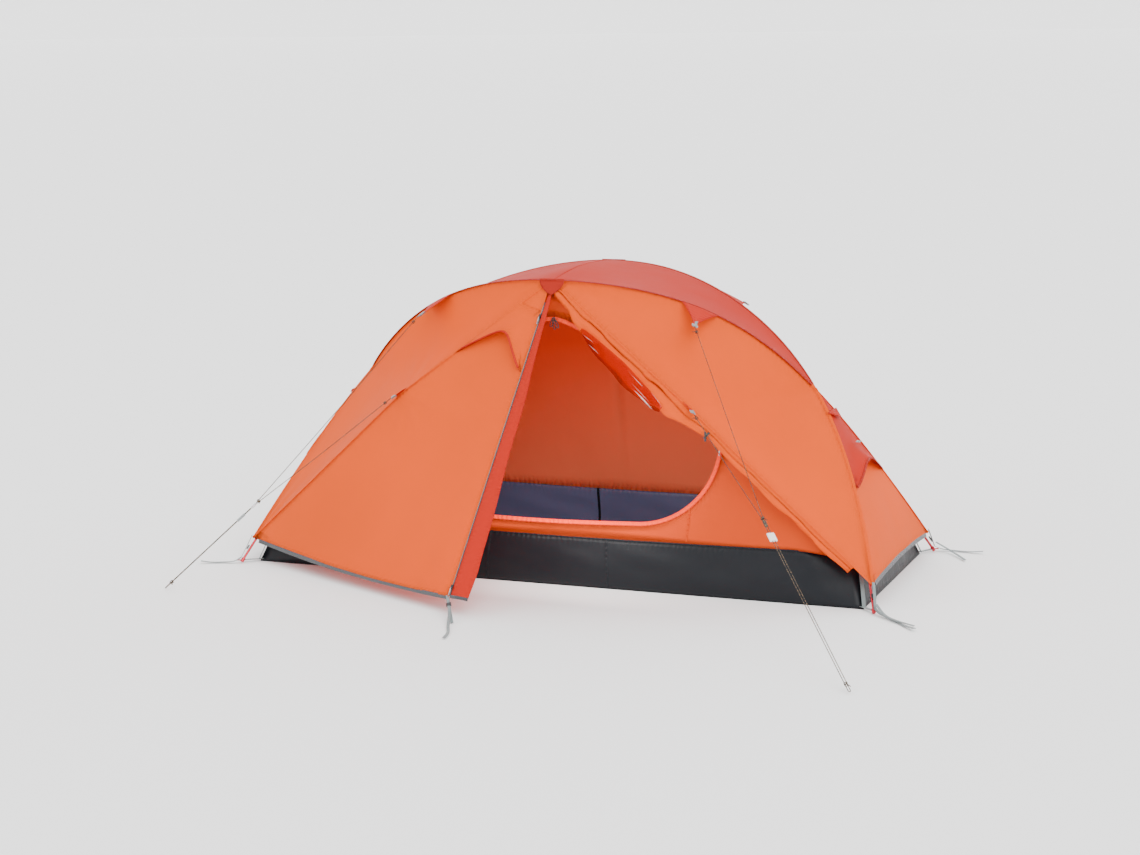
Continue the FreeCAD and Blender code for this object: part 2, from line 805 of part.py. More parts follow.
def wall_point(along, height, out=0.0):
    """Point of the leaning front wall of the inner tent, by its height up the cloth."""
    lean = size("wall_lean")
    up = unit(Vector(0, lean, 1))
    foot = Vector(along, -size("floor_width") / 2 + 16, size("tub_height"))
    return foot + up * height + Vector(0, -1, lean).normalize() * out


def beyond_wall(point):
    """How far a point is behind the plane of the front wall."""
    foot = wall_point(0, 0)
    return (point - foot).dot(Vector(0, 1, -size("wall_lean")).normalize())


def inner_crease():
    """Inside line of the crease, a hand's breadth in from the fly."""
    inward = Vector(-0.3, 0.8, -0.5) * size("inner_gap") * 1.3
    return [point + inward for point in crease_line(1, -1)]


def wall_top_line():
    """Where the hung roof's front slope meets the front wall, one point for each of the seam's."""
    seam = seam_line(inner_point, size("tub_corner_height"), 1, -1)
    crease = inner_crease()
    points = []
    for i, (a, b) in enumerate(zip(seam, crease)):
        depth_a = beyond_wall(a)
        depth_b = beyond_wall(b)
        if i == 0:
            points.append(a + Vector(0, -1, -0.15) * (depth_a / 0.985))
        elif depth_b < 0 < depth_a:
            points.append(mix(a, b, depth_a / (depth_a - depth_b)))
        else:
            points.append(b)
    return seam, points


def tub_corner(along=1, across=-1):
    seam = leg_line(inner_point, size("tub_corner_height"))
    return mirrored(seam[-1], along, -across)


def tub_top_line(count):
    """Top edge of the front of the tub, from the middle to the corner."""
    corner = tub_corner(1, -1)
    bend = wall_point(corner.x * 0.84, 0)
    points = []
    for i in range(count):
        share = i / (count - 1)
        along = corner.x * share
        if along <= bend.x:
            points.append(wall_point(along, 0))
        else:
            points.append(mix(bend, corner, (along - bend.x) / (corner.x - bend.x)))
    return points


def both_sides(half_line):
    return [mirrored(point, -1) for point in half_line[::-1]] + half_line[1:]


def build_inner():
    seam, top = wall_top_line()
    tub_top = matching_tub_line(top)
    usable = [i for i in range(len(top)) if top[i].z - tub_top[i].z > 30]
    last = usable[-1]
    wall_top = both_sides(top[:last + 1])
    wall_foot = both_sides(tub_top[:last + 1])
    lift = Vector(0, 0, size("seam_gap"))
    for across, face in ((1, "front"), (-1, "back")):
        upper = [mirrored(point, 1, across) for point in wall_top]
        foot = [mirrored(point, 1, across) + lift * 0.2 for point in wall_foot]
        wall = panel(foot, [point - lift * 3 for point in upper], Vector(0, 0, 500), 3)
        if face == "front":
            wall = wall.cut(door_cutter())
            wall = wall.Solids[0]
        add("inner_%s_wall" % face, wall)
        slope_top = [mirrored(point, 1, across) for point in both_sides(seam[:last + 1])]
        add("inner_%s_slope" % face, panel(slope_top, upper, INSIDE, 2))
    ridge = both_sides(top_line(inner_point))
    ends = cross_point(inner_point)
    ridge = [mirrored(ends, -1)] + ridge + [ends]
    far = [mirrored(point, 1, -1) for point in ridge]
    line_a, line_b = short_ends(ridge, far, 24)
    add("inner_roof", panel(line_a, line_b, INSIDE, 3))
    for along, name in ((-1, "left"), (1, "right")):
        front, back = end_lines(along, inner_point, size("tub_corner_height"))
        line_a, line_b = short_start(front, back, 24)
        add("inner_end_" + name, panel(line_a, line_b, INSIDE))


def matching_tub_line(top):
    """Tub edge points under the points of the wall's top line."""
    corner = tub_corner(1, -1)
    line = tub_top_line(40)
    points = []
    for point in top:
        along = min(point.x, corner.x)
        index = next((i for i in range(1, len(line)) if line[i].x >= along), len(line) - 1)
        a = line[index - 1]
        b = line[index]
        points.append(mix(a, b, (along - a.x) / (b.x - a.x)))
    return points


def door_outline(out):
    """Edges of the inner door's opening in the plane of the wall, open along its left seam."""
    radius = size("door_radius")
    along = size("door_arc_along")
    height = size("door_arc_height")
    left = size("door_left")
    low = height - radius
    diagonal = math.sqrt(0.5) * radius
    foot = wall_point(left, low, out)
    arc = Part.Arc(wall_point(along, low, out),
                   wall_point(along + diagonal, height - diagonal, out),
                   wall_point(along + radius, height, out))
    rise = [wall_point(along + radius, height, out),
            wall_point(along + radius - 12, height + 60, out),
            wall_point(along - 60, height + 270, out),
            wall_point(along - 230, height + 365, out),
            wall_point(along - 345, height + 395, out)]
    return foot, arc, rise


def door_cutter():
    """Prism through the front wall, as wide as the inner door."""
    outlines = []
    for out in (-30, 30):
        foot, arc, rise = door_outline(out)
        left = wall_point(size("door_left"), size("door_arc_height") + 90, out)
        points = arc.toShape().discretize(13)
        shoulder = wall_point(size("door_left") + 150, size("door_arc_height") + 250, out)
        corners = [foot] + list(points) + rise[1:] + [shoulder, left, foot]
        outlines.append(Part.makePolygon(corners))
    return Part.makeLoft(outlines, True, True)


def build_inner_zip():
    half = size("zip_piping") / 2
    out = half + size("running_gap")
    foot, arc, rise = door_outline(out)
    start = arc.toShape().firstVertex(True).Point
    edges = [Part.LineSegment(foot, start).toShape(), arc.toShape()]
    path = Part.Wire(edges + bent_path(rise, 0.45).Edges)
    add("inner_door_zip", swept(path, half))


def build_tub():
    build_floor()
    gap = size("seam_gap")
    base = size("fabric") + gap
    corner = tub_corner(1, -1)
    top = both_sides(tub_top_line(9))
    half = (size("floor_length") / 2 - 1.0, size("floor_width") / 2 - 0.2)
    count = len(top)
    foot = [Vector(-half[0] + 2 * half[0] * i / (count - 1), -half[1], base) for i in range(count)]
    for across, face in ((1, "front"), (-1, "back")):
        line_a = [mirrored(point, 1, across) for point in foot]
        line_b = [mirrored(point, 1, across) for point in top]
        add("tub_wall_" + face, panel(line_a, line_b, INSIDE, 2))
    for along, name in ((-1, "left"), (1, "right")):
        line_a = [Vector(along * half[0], half[1] * share, base) for share in (-1, 0, 1)]
        line_b = [mirrored(corner, along), Vector(along * (corner.x + 6), 0, corner.z),
                  mirrored(corner, along, -1)]
        add("tub_wall_" + name, panel(line_a, line_b, INSIDE, 2, 0, gap + 0.6))


# ---------------------------------------------------------------- zips, toggle, webbing

def zip_axes(share):
    """Place on the fly's zip: X down the zip, Z out of the cloth."""
    line = door_line()
    point = mix(line[0], line[-1], share)
    heading = unit(line[-1] - line[0])
    out = unit(heading.cross(door_across()))
    if out.y > 0:
        out = -out
    return axes_at(point, heading, out)


def slider_and_pull(place, side):
    """Zip slider lying on its tape, and the pull that swings on its bridge."""
    length = size("slider_length")
    gap = size("running_gap")
    body = block(length, 7.6, 3.6, place, Vector(0, 0, gap + 1.8))
    ears = [block(4, 1.4, 3.4, place, Vector(side * 4, offset, gap + 3.6 + 1.7)) for offset in (-2.8, 2.8)]
    slider = body.fuse(ears[0]).fuse(ears[1]).removeSplitter()
    pull_length = size("pull_length")
    middle = Vector(side * (4 + pull_length / 2 - 1.2), 0, gap + 3.6 + gap + 1.3)
    pull = block(pull_length, 3.4, 1.6, place, middle)
    slot = block(7, 1.6, 3, place, middle + Vector(side * (pull_length / 2 - 6), 0, 0))
    return slider, pull.cut(slot)


def build_fly_sliders():
    for share, side, name in ((0.972, 1, "lower"), (0.12, 1, "upper")):
        slider, pull = slider_and_pull(zip_axes(share), side)
        add("fly_zip_slider_" + name, slider)
        add("fly_zip_pull_" + name, pull)


def build_inner_slider():
    """Slider on the round part of the inner door's zip, near the arc's upper end."""
    turn = math.radians(-4)
    radius = size("door_radius")
    out = size("zip_piping") + size("running_gap")
    point = wall_point(size("door_arc_along") + radius * math.cos(turn),
                       size("door_arc_height") + radius * math.sin(turn), out)
    centre = wall_point(size("door_arc_along"), size("door_arc_height"), out)
    spoke = unit(point - centre)
    normal = unit(wall_point(0, 0, 1) - wall_point(0, 0, 0))
    heading = normal.cross(spoke)
    if heading.z > 0:
        heading = -heading
    place = axes_at(point, heading, normal)
    slider, pull = slider_and_pull(place, 1)
    add("inner_zip_slider", slider)
    add("inner_zip_pull", pull)


def build_toggle():
    """Toggle bar and the elastic loop that holds the rolled door to its crease."""
    seam, path, halves = rolled_door_lines()
    middle = path[5]
    heading = unit(path[6] - path[4])
    out = Vector(0, -1, 0)
    around = halves[5] + 0.6
    loop = sleeve(around + 2.2, around, middle - heading * 4, middle + heading * 4)
    mouth = axes_at(middle, seam[5] - middle, heading)
    loop = loop.cut(block(20, 9, 12, mouth, Vector(around + 5, 0, 0)))
    add("door_toggle_loop", loop)
    spot = middle + unit(out - heading * out.dot(heading)) * (around + 2.2 + 4.0)
    bar = rod(3.4, spot - Vector(0, 0, 1) * 16, spot + Vector(0, 0, 1) * 16)
    waist = sleeve(6, 2.4, spot - Vector(0, 0, 1) * 4, spot + Vector(0, 0, 1) * 4)
    add("door_toggle", bar.cut(waist))


def guy_points(along):
    """Ends of the webbing tabs that the guylines tie to: (on the fly, at the buckle)."""
    seam = top_line(fly_point)
    upper = mirrored(mix(seam[2], seam[3], 0.5), along)
    upper_end = Vector(along * 502, -281, 897)
    tab = Vector(along * size("crease_along"), -size("crease_out"), size("crease_height"))
    tab = tab + unit(Vector(along * 0.35, -0.62, 0.65)) * 3.1
    lower_end = tab + unit(Vector(along * 0.62, -0.65, -0.42)) * 24
    return (upper, upper_end), (tab, lower_end)


def seam_headings(along):
    """Directions of the seams under the two tabs, which the webbing's width follows."""
    seam = top_line(fly_point)
    crease = crease_line()
    return mirrored(unit(seam[3] - seam[2]), along), mirrored(unit(crease[-1] - crease[0]), along)


def build_guy_tabs():
    """Webbing tabs on the seams, each through the slot of its own buckle."""
    tabs = []
    buckles = []
    width = size("webbing_width")
    for along in (-1, 1):
        for across in (-1, 1):
            for (start, end), seam in zip(guy_points(along), seam_headings(along)):
                start = mirrored(start, 1, -across)
                end = mirrored(end, 1, -across)
                heading = unit(end - start)
                across_tab = mirrored(seam, 1, -across)
                across_tab = unit(across_tab - heading * across_tab.dot(heading))
                tabs.append(ribbon([start + heading * 1.0, end], across_tab, width, size("webbing")))
                buckles.append(tab_buckle(end, heading, across_tab))
        front, back = end_lines(along, fly_point, size("fly_hem_height"))
        seam = mix(front[1], back[1], 0.5)
        out = unit(Vector(along, 0, -0.1))
        start = seam + out * 1.4
        end = start + out * 26
        tabs.append(ribbon([start, end], Vector(0, 1, 0), width, size("webbing")))
        buckles.append(tab_buckle(end, out, Vector(0, 1, 0)))
    add("guy_tabs", group(tabs))
    add("guy_tab_buckles", group(buckles))


def tab_buckle(end, heading, across):
    """Slotted plate at the end of a tab: the webbing's end stops at its near bar."""
    length = size("buckle_length")
    width = size("webbing_width") + 6
    thin = unit(heading.cross(across))
    place = axes_at(end + heading * (length / 2 + size("running_gap")), heading, thin)
    plate = block(length, width, 3.2, place)
    slot = block(3.2, size("webbing_width") + 1, 6, place, Vector(1.5, 0, 0))
    return plate.cut(slot)


def corner_points():
    """For each corner: the foot end of the pole, its first bend and the signs of the corner."""
    corners = []
    for side in (1, -1):
        vertices = pole_vertices(side)
        corners.append((vertices[0], vertices[1], -1, side))
        corners.append((vertices[-1], vertices[-2], 1, side))
    return corners


def build_corner_straps():
    """Webbing at each foot: one strap down from the fly's corner, one out from the tub's."""
    straps = []
    buckles = []
    cup = size("foot_cup_radius")
    length = size("foot_cup_length")
    for end, bend, along, side in corner_points():
        heading = unit(bend - end)
        out = unit(Vector(along * 0.75, side * 0.66, 0))
        clear = unit(out - heading * out.dot(heading))
        hem = leg_line(fly_point, size("fly_hem_height"))[-1]
        hem = mirrored(hem, along, -side) + clear * 0.5 + Vector(0, 0, -0.9)
        low = end - heading * (length * 0.35) + clear * (cup + 1.2)
        across = unit(heading.cross(clear))
        straps.append(ribbon([hem, mix(hem, low, 0.5), low], across, 12, size("webbing")))
        buckles.append(strap_buckle(mix(hem, low, 0.45), unit(low - hem), across))
        beside = unit(heading.cross(Vector(0, 0, 1)))
        if beside.x * along > 0:
            beside = -beside
        tub = Vector(along * size("floor_length") / 2, side * size("floor_width") / 2, 12)
        stop = end - heading * (length * 0.5) + beside * (cup + 1.1)
        start = tub + unit(stop - tub) * 1.0
        straps.append(ribbon([start, stop], Vector(0, 0, 1), 12, size("webbing")))
    add("corner_straps", group(straps))
    add("corner_buckles", group(buckles))


def strap_buckle(middle, heading, across):
    """Ladder lock that the corner strap runs through."""
    thin = unit(heading.cross(across))
    place = axes_at(middle, heading, thin)
    frame = block(14, 18, 4.6, place)
    return frame.cut(block(20, 12.8, 2.0, place))


def build_hem_strap():
    """Webbing loop and tail under the door's corner, drawn towards its peg."""
    corner = door_line()[-1]
    peg = Vector(-98, -973, 3)
    heading = unit(peg - corner)
    start = corner + heading * 4.2 - door_across() * 8
    across = unit(door_across() - heading * door_across().dot(heading))
    strap = ribbon([start, peg], across, 10, size("webbing"))
    place = axes_at(mix(start, peg, 0.3), heading, unit(heading.cross(across)))
    lock = block(14, 17, 4.6, place).cut(block(20, 10.8, 2.0, place))
    add("door_corner_strap", group([strap, lock]))


# ---------------------------------------------------------------- guylines

def guy_route(along):
    """Tab ends, meeting point and peg of each side's guyline."""
    (upper, upper_end), (tab, lower_end) = guy_points(along)
    reach = size("buckle_length") + 2
    upper_start = upper_end + unit(upper_end - upper) * reach
    lower_start = lower_end + unit(lower_end - tab) * reach
    if along < 0:
        meet = Vector(-967, -686, 273)
        peg = Vector(-1221, -872, 7)
    else:
        meet = Vector(912, -840, 370)
        peg = Vector(1307, -1315, 7)
    return upper_start, lower_start, meet, peg


def build_guylines():
    radius = size("cord_diameter") / 2
    knots = []
    for along, name in ((-1, "left"), (1, "right")):
        upper, lower, meet, peg = guy_route(along)
        down = unit(peg - meet)
        across = unit(down.cross(Vector(0, 0, 1)))
        ring = size("ring_radius")
        stop = ring + 2.2
        if along > 0:
            stop = 13.5
        add("guyline_%s_upper" % name, rod(radius, upper, meet + unit(upper - meet) * stop))
        add("guyline_%s_lower" % name, rod(radius, lower, meet + unit(lower - meet) * stop))
        half = size("strand_gap") / 2
        top = meet + down * stop
        route = [top + across * half, peg + across * half, peg - across * half, top - across * half]
        add("guyline_%s_anchor" % name, swept(bent_path(route, 0.45), radius))
        place = axes_at(meet, down, across)
        if along < 0:
            torus = Part.makeTorus(ring, 1.8)
            torus.Placement = axes_at(meet, down, across.cross(down))
            add("guy_ring", group([torus]))
        else:
            knots.append(block(stop * 2 - 1, 9, 7, axes_at(meet, down, across.cross(down))))
        slide = meet + down * (60 if along < 0 else 62)
        build_tensioner(name, slide, down, across, half, radius)
    add("guy_knots", group(knots))


def build_tensioner(name, middle, down, across, half, radius):
    """Line tensioner with a hole for each strand; the right one is a broad wedge."""
    length = size("tensioner_length")
    place = axes_at(middle, down, across.cross(down))
    wide = 8.0 if name == "left" else 15.0
    body = block(length, half * 2 + wide, 5.6, place)
    clear = radius + size("running_gap")
    for side in (-1, 1):
        start = middle - down * length + across * (side * half)
        end = middle + down * length + across * (side * half)
        body = body.cut(rod(clear, start, end))
    add("guy_tensioner_" + name, body)


# ---------------------------------------------------------------- build and export

def build_all():
    build_long_poles()
    build_ridge_pole()
    build_feet()
    build_clips()
    build_fly()
    build_hem_bindings()
    build_door_edge()
    build_rolled_door()
    build_hoods()
    build_tub()
    build_inner()
    build_inner_zip()
    build_fly_sliders()
    build_inner_slider()
    build_toggle()
    build_guy_tabs()
    build_corner_straps()
    build_hem_strap()
    build_guylines()


def export_all():
    doc.recompute()
    for item in doc.Objects:
        if "Invalid" in item.State or "Error" in item.State:
            raise ValueError("%s did not recompute" % item.Label)
    for item in subparts:
        if item.Shape.isNull() or not item.Shape.isValid() or not item.Shape.Solids:
            raise ValueError("%s has no valid solid" % item.Label)
        if min(solid.Volume for solid in item.Shape.Solids) <= 0:
            raise ValueError("%s is inside out" % item.Label)
    os.makedirs("parts", exist_ok=True)
    for item in subparts:
        item.Shape.exportStep("parts/%s.step" % item.Label)


build_all()
export_all()
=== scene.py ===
import math

import bmesh
import bpy
from mathutils import Matrix, Vector, noise


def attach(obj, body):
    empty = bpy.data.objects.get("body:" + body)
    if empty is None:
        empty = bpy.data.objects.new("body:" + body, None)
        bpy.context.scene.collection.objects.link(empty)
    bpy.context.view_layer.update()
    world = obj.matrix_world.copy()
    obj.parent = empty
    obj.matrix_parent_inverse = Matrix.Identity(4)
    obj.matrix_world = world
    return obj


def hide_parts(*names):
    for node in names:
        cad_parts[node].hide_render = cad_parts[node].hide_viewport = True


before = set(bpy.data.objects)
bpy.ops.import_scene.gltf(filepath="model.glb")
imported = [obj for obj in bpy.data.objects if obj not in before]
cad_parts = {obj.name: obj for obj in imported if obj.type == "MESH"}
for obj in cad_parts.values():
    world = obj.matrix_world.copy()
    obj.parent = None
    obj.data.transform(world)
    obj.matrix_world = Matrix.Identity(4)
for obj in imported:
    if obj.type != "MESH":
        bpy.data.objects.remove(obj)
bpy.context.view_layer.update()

# Two-pole ridge tent, pitched with its right door rolled back.  Metres, in the frame of the CAD:
# X along the tent, -Y the door side, Z up from the ground.

FOOT_SPAN = 2.3
FOOT_DEPTH = 0.882
FOOT_HEIGHT = 0.017
RIDGE_HEIGHT = 1.035
RIDGE_GAP = 0.598
FLY_GAP = 0.016             # fly over the line of the poles
INNER_GAP = 0.026           # hung tent under that line
HEM_HEIGHT = 0.082
CREASE_TAB = Vector((0.523, -0.415, 0.642))
DOOR_CORNER = Vector((-0.155, -0.865, 0.060))
BACK_CORNER = Vector((0.0, 0.620, 0.060))
FLOOR_LENGTH = 2.224
FLOOR_WIDTH = 0.802
TUB_HEIGHT = 0.176
TUB_CORNER = Vector((1.0694, -0.3059, 0.150))
WALL_LEAN = 0.104
DOOR_RADIUS = 0.298
DOOR_ARC_ALONG = 0.315
DOOR_ARC_HEIGHT = 0.350
DOOR_LEFT = -0.450
HEM_BINDING = 0.011
CLOTH = 0.0008
WEBBING = 0.0012
CORD = 0.0024
STRAND_GAP = 0.008
RISE = {2: 0.4911, 4: 0.3217, 6: 0.1872}
SIDE = {2: 1.4959, 4: -2.8230, 6: 3.1319, 8: -0.8048}
MIDDLE = Vector((0.0, 0.0, 0.30))


# ---------------------------------------------------------------- camera, floor, light

def add_camera():
    """Long lens from the right of the door, a little above the ridge."""
    turn, drop, roll = math.radians(21.629), math.radians(10.59), math.radians(-1.038)
    look = Vector((-math.sin(turn) * math.cos(drop), math.cos(turn) * math.cos(drop), -math.sin(drop)))
    level = Vector((math.cos(turn), math.sin(turn), 0.0))
    above = level.cross(look)
    right = level * math.cos(roll) + above * math.sin(roll)
    up = above * math.cos(roll) - level * math.sin(roll)
    data = bpy.data.cameras.new("camera")
    data.sensor_width = 36.0
    data.lens = 74.295
    data.clip_end = 900.0
    camera = bpy.data.objects.new("camera", data)
    bpy.context.collection.objects.link(camera)
    matrix = Matrix((right, up, -look)).transposed().to_4x4()
    matrix.translation = Vector((2.9667, -7.6409, 2.0065))
    camera.matrix_world = matrix
    bpy.context.scene.camera = camera


def add_sun(name, place, strength, spread):
    data = bpy.data.lights.new(name, "SUN")
    data.energy = strength
    data.angle = math.radians(spread)
    lamp = bpy.data.objects.new(name, data)
    bpy.context.collection.objects.link(lamp)
    lamp.rotation_mode = "QUATERNION"
    lamp.rotation_quaternion = (-Vector(place)).to_track_quat("-Z", "Y")


def add_studio():
    """Soft light from the upper right and behind, over a plain floor that runs out to the backdrop."""
    add_sun("key_light", (2.6, -2.4, 3.4), 3.0, 45)
    add_sun("back_light", (-0.6, 3.4, 3.4), 2.2, 60)
    add_sun("fill_light", (-3.4, -3.6, 1.8), 1.1, 70)
    # daylight that comes in through the open door, from a lamp in the porch that the camera doesn't see
    data = bpy.data.lights.new("doorway_light", "AREA")
    data.shape, data.size, data.size_y, data.energy = "RECTANGLE", 0.5, 0.25, 3.4
    data.color = (1.0, 0.95, 0.90)
    lamp = bpy.data.objects.new("doorway_light", data)
    bpy.context.collection.objects.link(lamp)
    lamp.location = (0.10, -0.60, 0.36)
    lamp.rotation_mode = "QUATERNION"
    lamp.rotation_quaternion = Vector((0.05, 1.0, -0.10)).to_track_quat("-Z", "Y")
    lamp.visible_camera = False
    world = bpy.data.worlds.new("studio")
    world.use_nodes = True
    backdrop = world.node_tree.nodes["Background"]
    backdrop.inputs["Color"].default_value = (1.0, 1.0, 1.0, 1.0)
    backdrop.inputs["Strength"].default_value = 1.45
    bpy.context.scene.world = world
    bpy.ops.object.select_all(action="DESELECT")
    bpy.ops.mesh.primitive_plane_add(size=600.0, location=(0, 0, -0.0005))
    floor = bpy.context.object
    floor.name = "studio_floor"
    shop = Finish("studio_floor")
    shop.surface((0.93, 0.93, 0.93), 0.8)
    floor.data.materials.append(shop.material)
    bpy.ops.object.select_all(action="DESELECT")
    bpy.ops.mesh.primitive_plane_add(size=300.0, location=(0, 90.0, 100.0), rotation=(math.radians(90), 0, 0))
    wall = bpy.context.object
    wall.name = "studio_wall"
    wall.data.materials.append(shop.material)


# ---------------------------------------------------------------- finishes

class Amount:
    """A number in a shader, so that sums can be written as sums."""

    def __init__(self, shop, socket):
        self.shop = shop
        self.socket = socket

    def sum(self, operation, *others):
        return self.shop.math(operation, self, *others)

    def __add__(self, other):
        return self.sum("ADD", other)

    def __sub__(self, other):
        return self.sum("SUBTRACT", other)

    def __rsub__(self, other):
        return self.shop.math("SUBTRACT", other, self)

    def __mul__(self, other):
        return self.sum("MULTIPLY", other)

    def __pow__(self, other):
        return self.sum("POWER", other)

    def __gt__(self, other):
        return self.sum("GREATER_THAN", other)

    def __lt__(self, other):
        return self.sum("LESS_THAN", other)

    def sine(self):
        return self.sum("SINE")

    def size(self):
        return self.sum("ABSOLUTE")

    def held(self):
        """Kept from 0 to 1."""
        result = self.sum("MULTIPLY", 1.0)
        result.socket.node.use_clamp = True
        return result

    __radd__ = __add__
    __rmul__ = __mul__


class Finish:
    """One material under construction."""

    def __init__(self, name):
        self.material = bpy.data.materials.new(name)
        self.material.use_nodes = True
        self.tree = self.material.node_tree
        self.tree.nodes.clear()
        self.out = self.node("OutputMaterial")

    def node(self, kind, settings=None, sockets=None):
        made = self.tree.nodes.new("ShaderNode" + kind)
        for key, value in (settings or {}).items():
            setattr(made, key, value)
        for key, value in (sockets or {}).items():
            self.put(made.inputs[key], value)
        return made

    def put(self, target, value):
        if isinstance(value, Amount):
            value = value.socket
        if isinstance(value, bpy.types.NodeSocket):
            self.tree.links.new(value, target)
        elif isinstance(value, tuple) and len(value) == 3 and target.type == "RGBA":
            target.default_value = value + (1.0,)
        else:
            target.default_value = value

    def math(self, operation, *values):
        made = self.node("Math", {"operation": operation})
        for index, value in enumerate(values):
            self.put(made.inputs[index], value)
        return Amount(self, made.outputs[0])

    def place(self):
        return self.node("TexCoord").outputs["Object"]

    def noted(self, name):
        """A number kept on the mesh's own points."""
        made = self.node("Attribute", {"attribute_name": name})
        return Amount(self, made.outputs["Fac"])

    def noise(self, scale, detail=2.0, place=None, stretch=None):
        place = place or self.place()
        if stretch:
            place = self.node("Mapping", None, {"Vector": place, "Scale": stretch}).outputs[0]
        made = self.node("TexNoise", None, {"Vector": place, "Scale": scale, "Detail": detail})
        return Amount(self, made.outputs[0])

    def blended(self, share, first, second):
        made = self.node("Mix", {"data_type": "RGBA"})
        self.put(made.inputs["Factor"], share)
        self.put(made.inputs[6], first)
        self.put(made.inputs[7], second)
        return made.outputs[2]

    def relief(self, height):
        """Bump from a height in metres."""
        made = self.node("Bump", None, {"Height": height})
        made.inputs["Strength"].default_value = 1.0
        made.inputs["Distance"].default_value = 1.0
        return made.outputs[0]

    def surface(self, colour, roughness, normal=None, glow=0.0, glow_colour=None, **steady):
        """Ends the material: a Principled shader, with light let through where glow is set."""
        made = self.node("BsdfPrincipled", None, {"Base Color": colour, "Roughness": roughness})
        for key, value in steady.items():
            self.put(made.inputs[key.replace("_", " ")], value)
        if normal:
            self.put(made.inputs["Normal"], normal)
        shader = made.outputs[0]
        if glow:
            through = self.node("BsdfTranslucent", None, {"Color": glow_colour})
            if normal:
                self.put(through.inputs["Normal"], normal)
            both = self.node("MixShader")
            both.inputs[0].default_value = glow
            self.put(both.inputs[1], shader)
            self.put(both.inputs[2], through.outputs[0])
            shader = both.outputs[0]
        self.put(self.out.inputs["Surface"], shader)
        return self.material


def shade(colour, share):
    return tuple(channel * share for channel in colour)


def cloth_finish(name, colour, glow=0.25, glow_colour=None, roughness=0.58, pucker=0.0009,
                 crumple=0.0035, sheen=0.0, coat=0.0, painted_doorway_light_colour=None):
    """Woven, coated cloth: fine weave, soft crumples, puckers and a double row of stitches at seams. Given a
    colour for low down, it also paints light: the cloth turns paler towards the ground, for daylight let in
    at the doorway.
    """
    shop = Finish(name)
    seam = shop.noted("seam")
    run = shop.noted("run")
    wide = shop.noise(1.7, 3.0)
    soft = shop.noise(7.0, 3.0, stretch=(1.0, 1.0, 0.55))
    fine = shop.noise(34.0, 2.0)
    thread = shop.noise(900.0, 1.0)
    near = (1.0 - seam * 22.0).held() ** 2.0
    ripple = (run * 330.0 + shop.noise(16.0, 2.0) * 14.0).sine()
    weave = (run * 9000.0).sine() * (seam * 9000.0).sine()
    rows = ((seam - 0.0032).size() < 0.0006) + ((seam - 0.0082).size() < 0.0006)
    stitch = (rows * ((run * 2100.0).sine() > -0.35)).held()
    height = (ripple * near * pucker + soft * crumple + fine * (crumple * 0.12)
              + weave * 0.000012 + stitch * 0.0003)
    patch = (wide * 0.75 + soft * 0.35 + thread * 0.12 - 0.12).held()
    tone = shop.blended(patch, shade(colour, 0.86), shade(colour, 1.10))
    # painted light: towards the ground the cloth blends to the paler low colour, standing in for daylight
    # that comes in at the doorway
    if painted_doorway_light_colour:
        split = shop.node("SeparateXYZ", None, {"Vector": shop.place()})
        low = (1.0 - (Amount(shop, split.outputs[2]) - 0.20) * 1.9).held()
        tone = shop.blended(low, tone, painted_doorway_light_colour)
    tone = shop.blended(near * 0.22, tone, shade(colour, 0.72))
    tone = shop.blended(stitch * 0.5, tone, shade(colour, 1.5))
    rough = (soft * 0.16 + thread * 0.06 + (roughness - 0.11)).held()
    steady = {"Sheen_Weight": sheen, "Sheen_Roughness": 0.4, "Specular_IOR_Level": 0.14}
    if coat:
        steady["Coat_Weight"] = coat
        steady["Coat_Roughness"] = 0.34
    return shop.surface(tone, rough, shop.relief(height), glow, glow_colour or colour, **steady)


def webbing_finish(name, colour):
    """Narrow woven strap: ribs across it and darker selvedges."""
    shop = Finish(name)
    run = shop.noted("run")
    seam = shop.noted("seam")
    rib = (run * 3900.0).sine()
    cross = (seam * 5200.0).sine()
    edge = (1.0 - seam * 900.0).held()
    worn = shop.noise(60.0, 3.0)
    tone = shop.blended((worn * 0.7 + rib * 0.12 + 0.1).held(), shade(colour, 0.62), shade(colour, 1.25))
    tone = shop.blended(edge * 0.5, tone, shade(colour, 0.4))
    height = rib * 0.00008 + cross * 0.00005 + worn * 0.0002
    return shop.surface(tone, (worn * 0.2 + 0.62).held(), shop.relief(height), Sheen_Weight=0.3)


def plastic_finish(name, colour, roughness=0.38):
    """Moulded fitting: faint flow marks and dulled high spots."""
    shop = Finish(name)
    flow = shop.noise(140.0, 3.0, stretch=(1.0, 1.0, 0.4))
    grain = shop.noise(1600.0, 2.0)
    tone = shop.blended((flow * 0.9 + grain * 0.2 - 0.1).held(), shade(colour, 0.8), shade(colour, 1.2))
    rough = (flow * 0.25 + (roughness - 0.1)).held()
    return shop.surface(tone, rough, shop.relief(flow * 0.00012 + grain * 0.00003))


def metal_finish(name, colour, roughness=0.28, metallic=1.0, coat=0.0):
    """Drawn or cast metal with fine lines and small rubbed patches."""
    shop = Finish(name)
    drawn = shop.noise(420.0, 3.0, stretch=(0.12, 0.12, 1.0))
    rubbed = shop.noise(55.0, 4.0)
    tone = shop.blended((rubbed * 1.4 - 0.2).held(), shade(colour, 0.78), shade(colour, 1.12))
    rough = (drawn * 0.16 + rubbed * 0.14 + (roughness - 0.14)).held()
    return shop.surface(tone, rough, shop.relief(drawn * 0.00004), Metallic=metallic,
                        Coat_Weight=coat, Coat_Roughness=0.2)


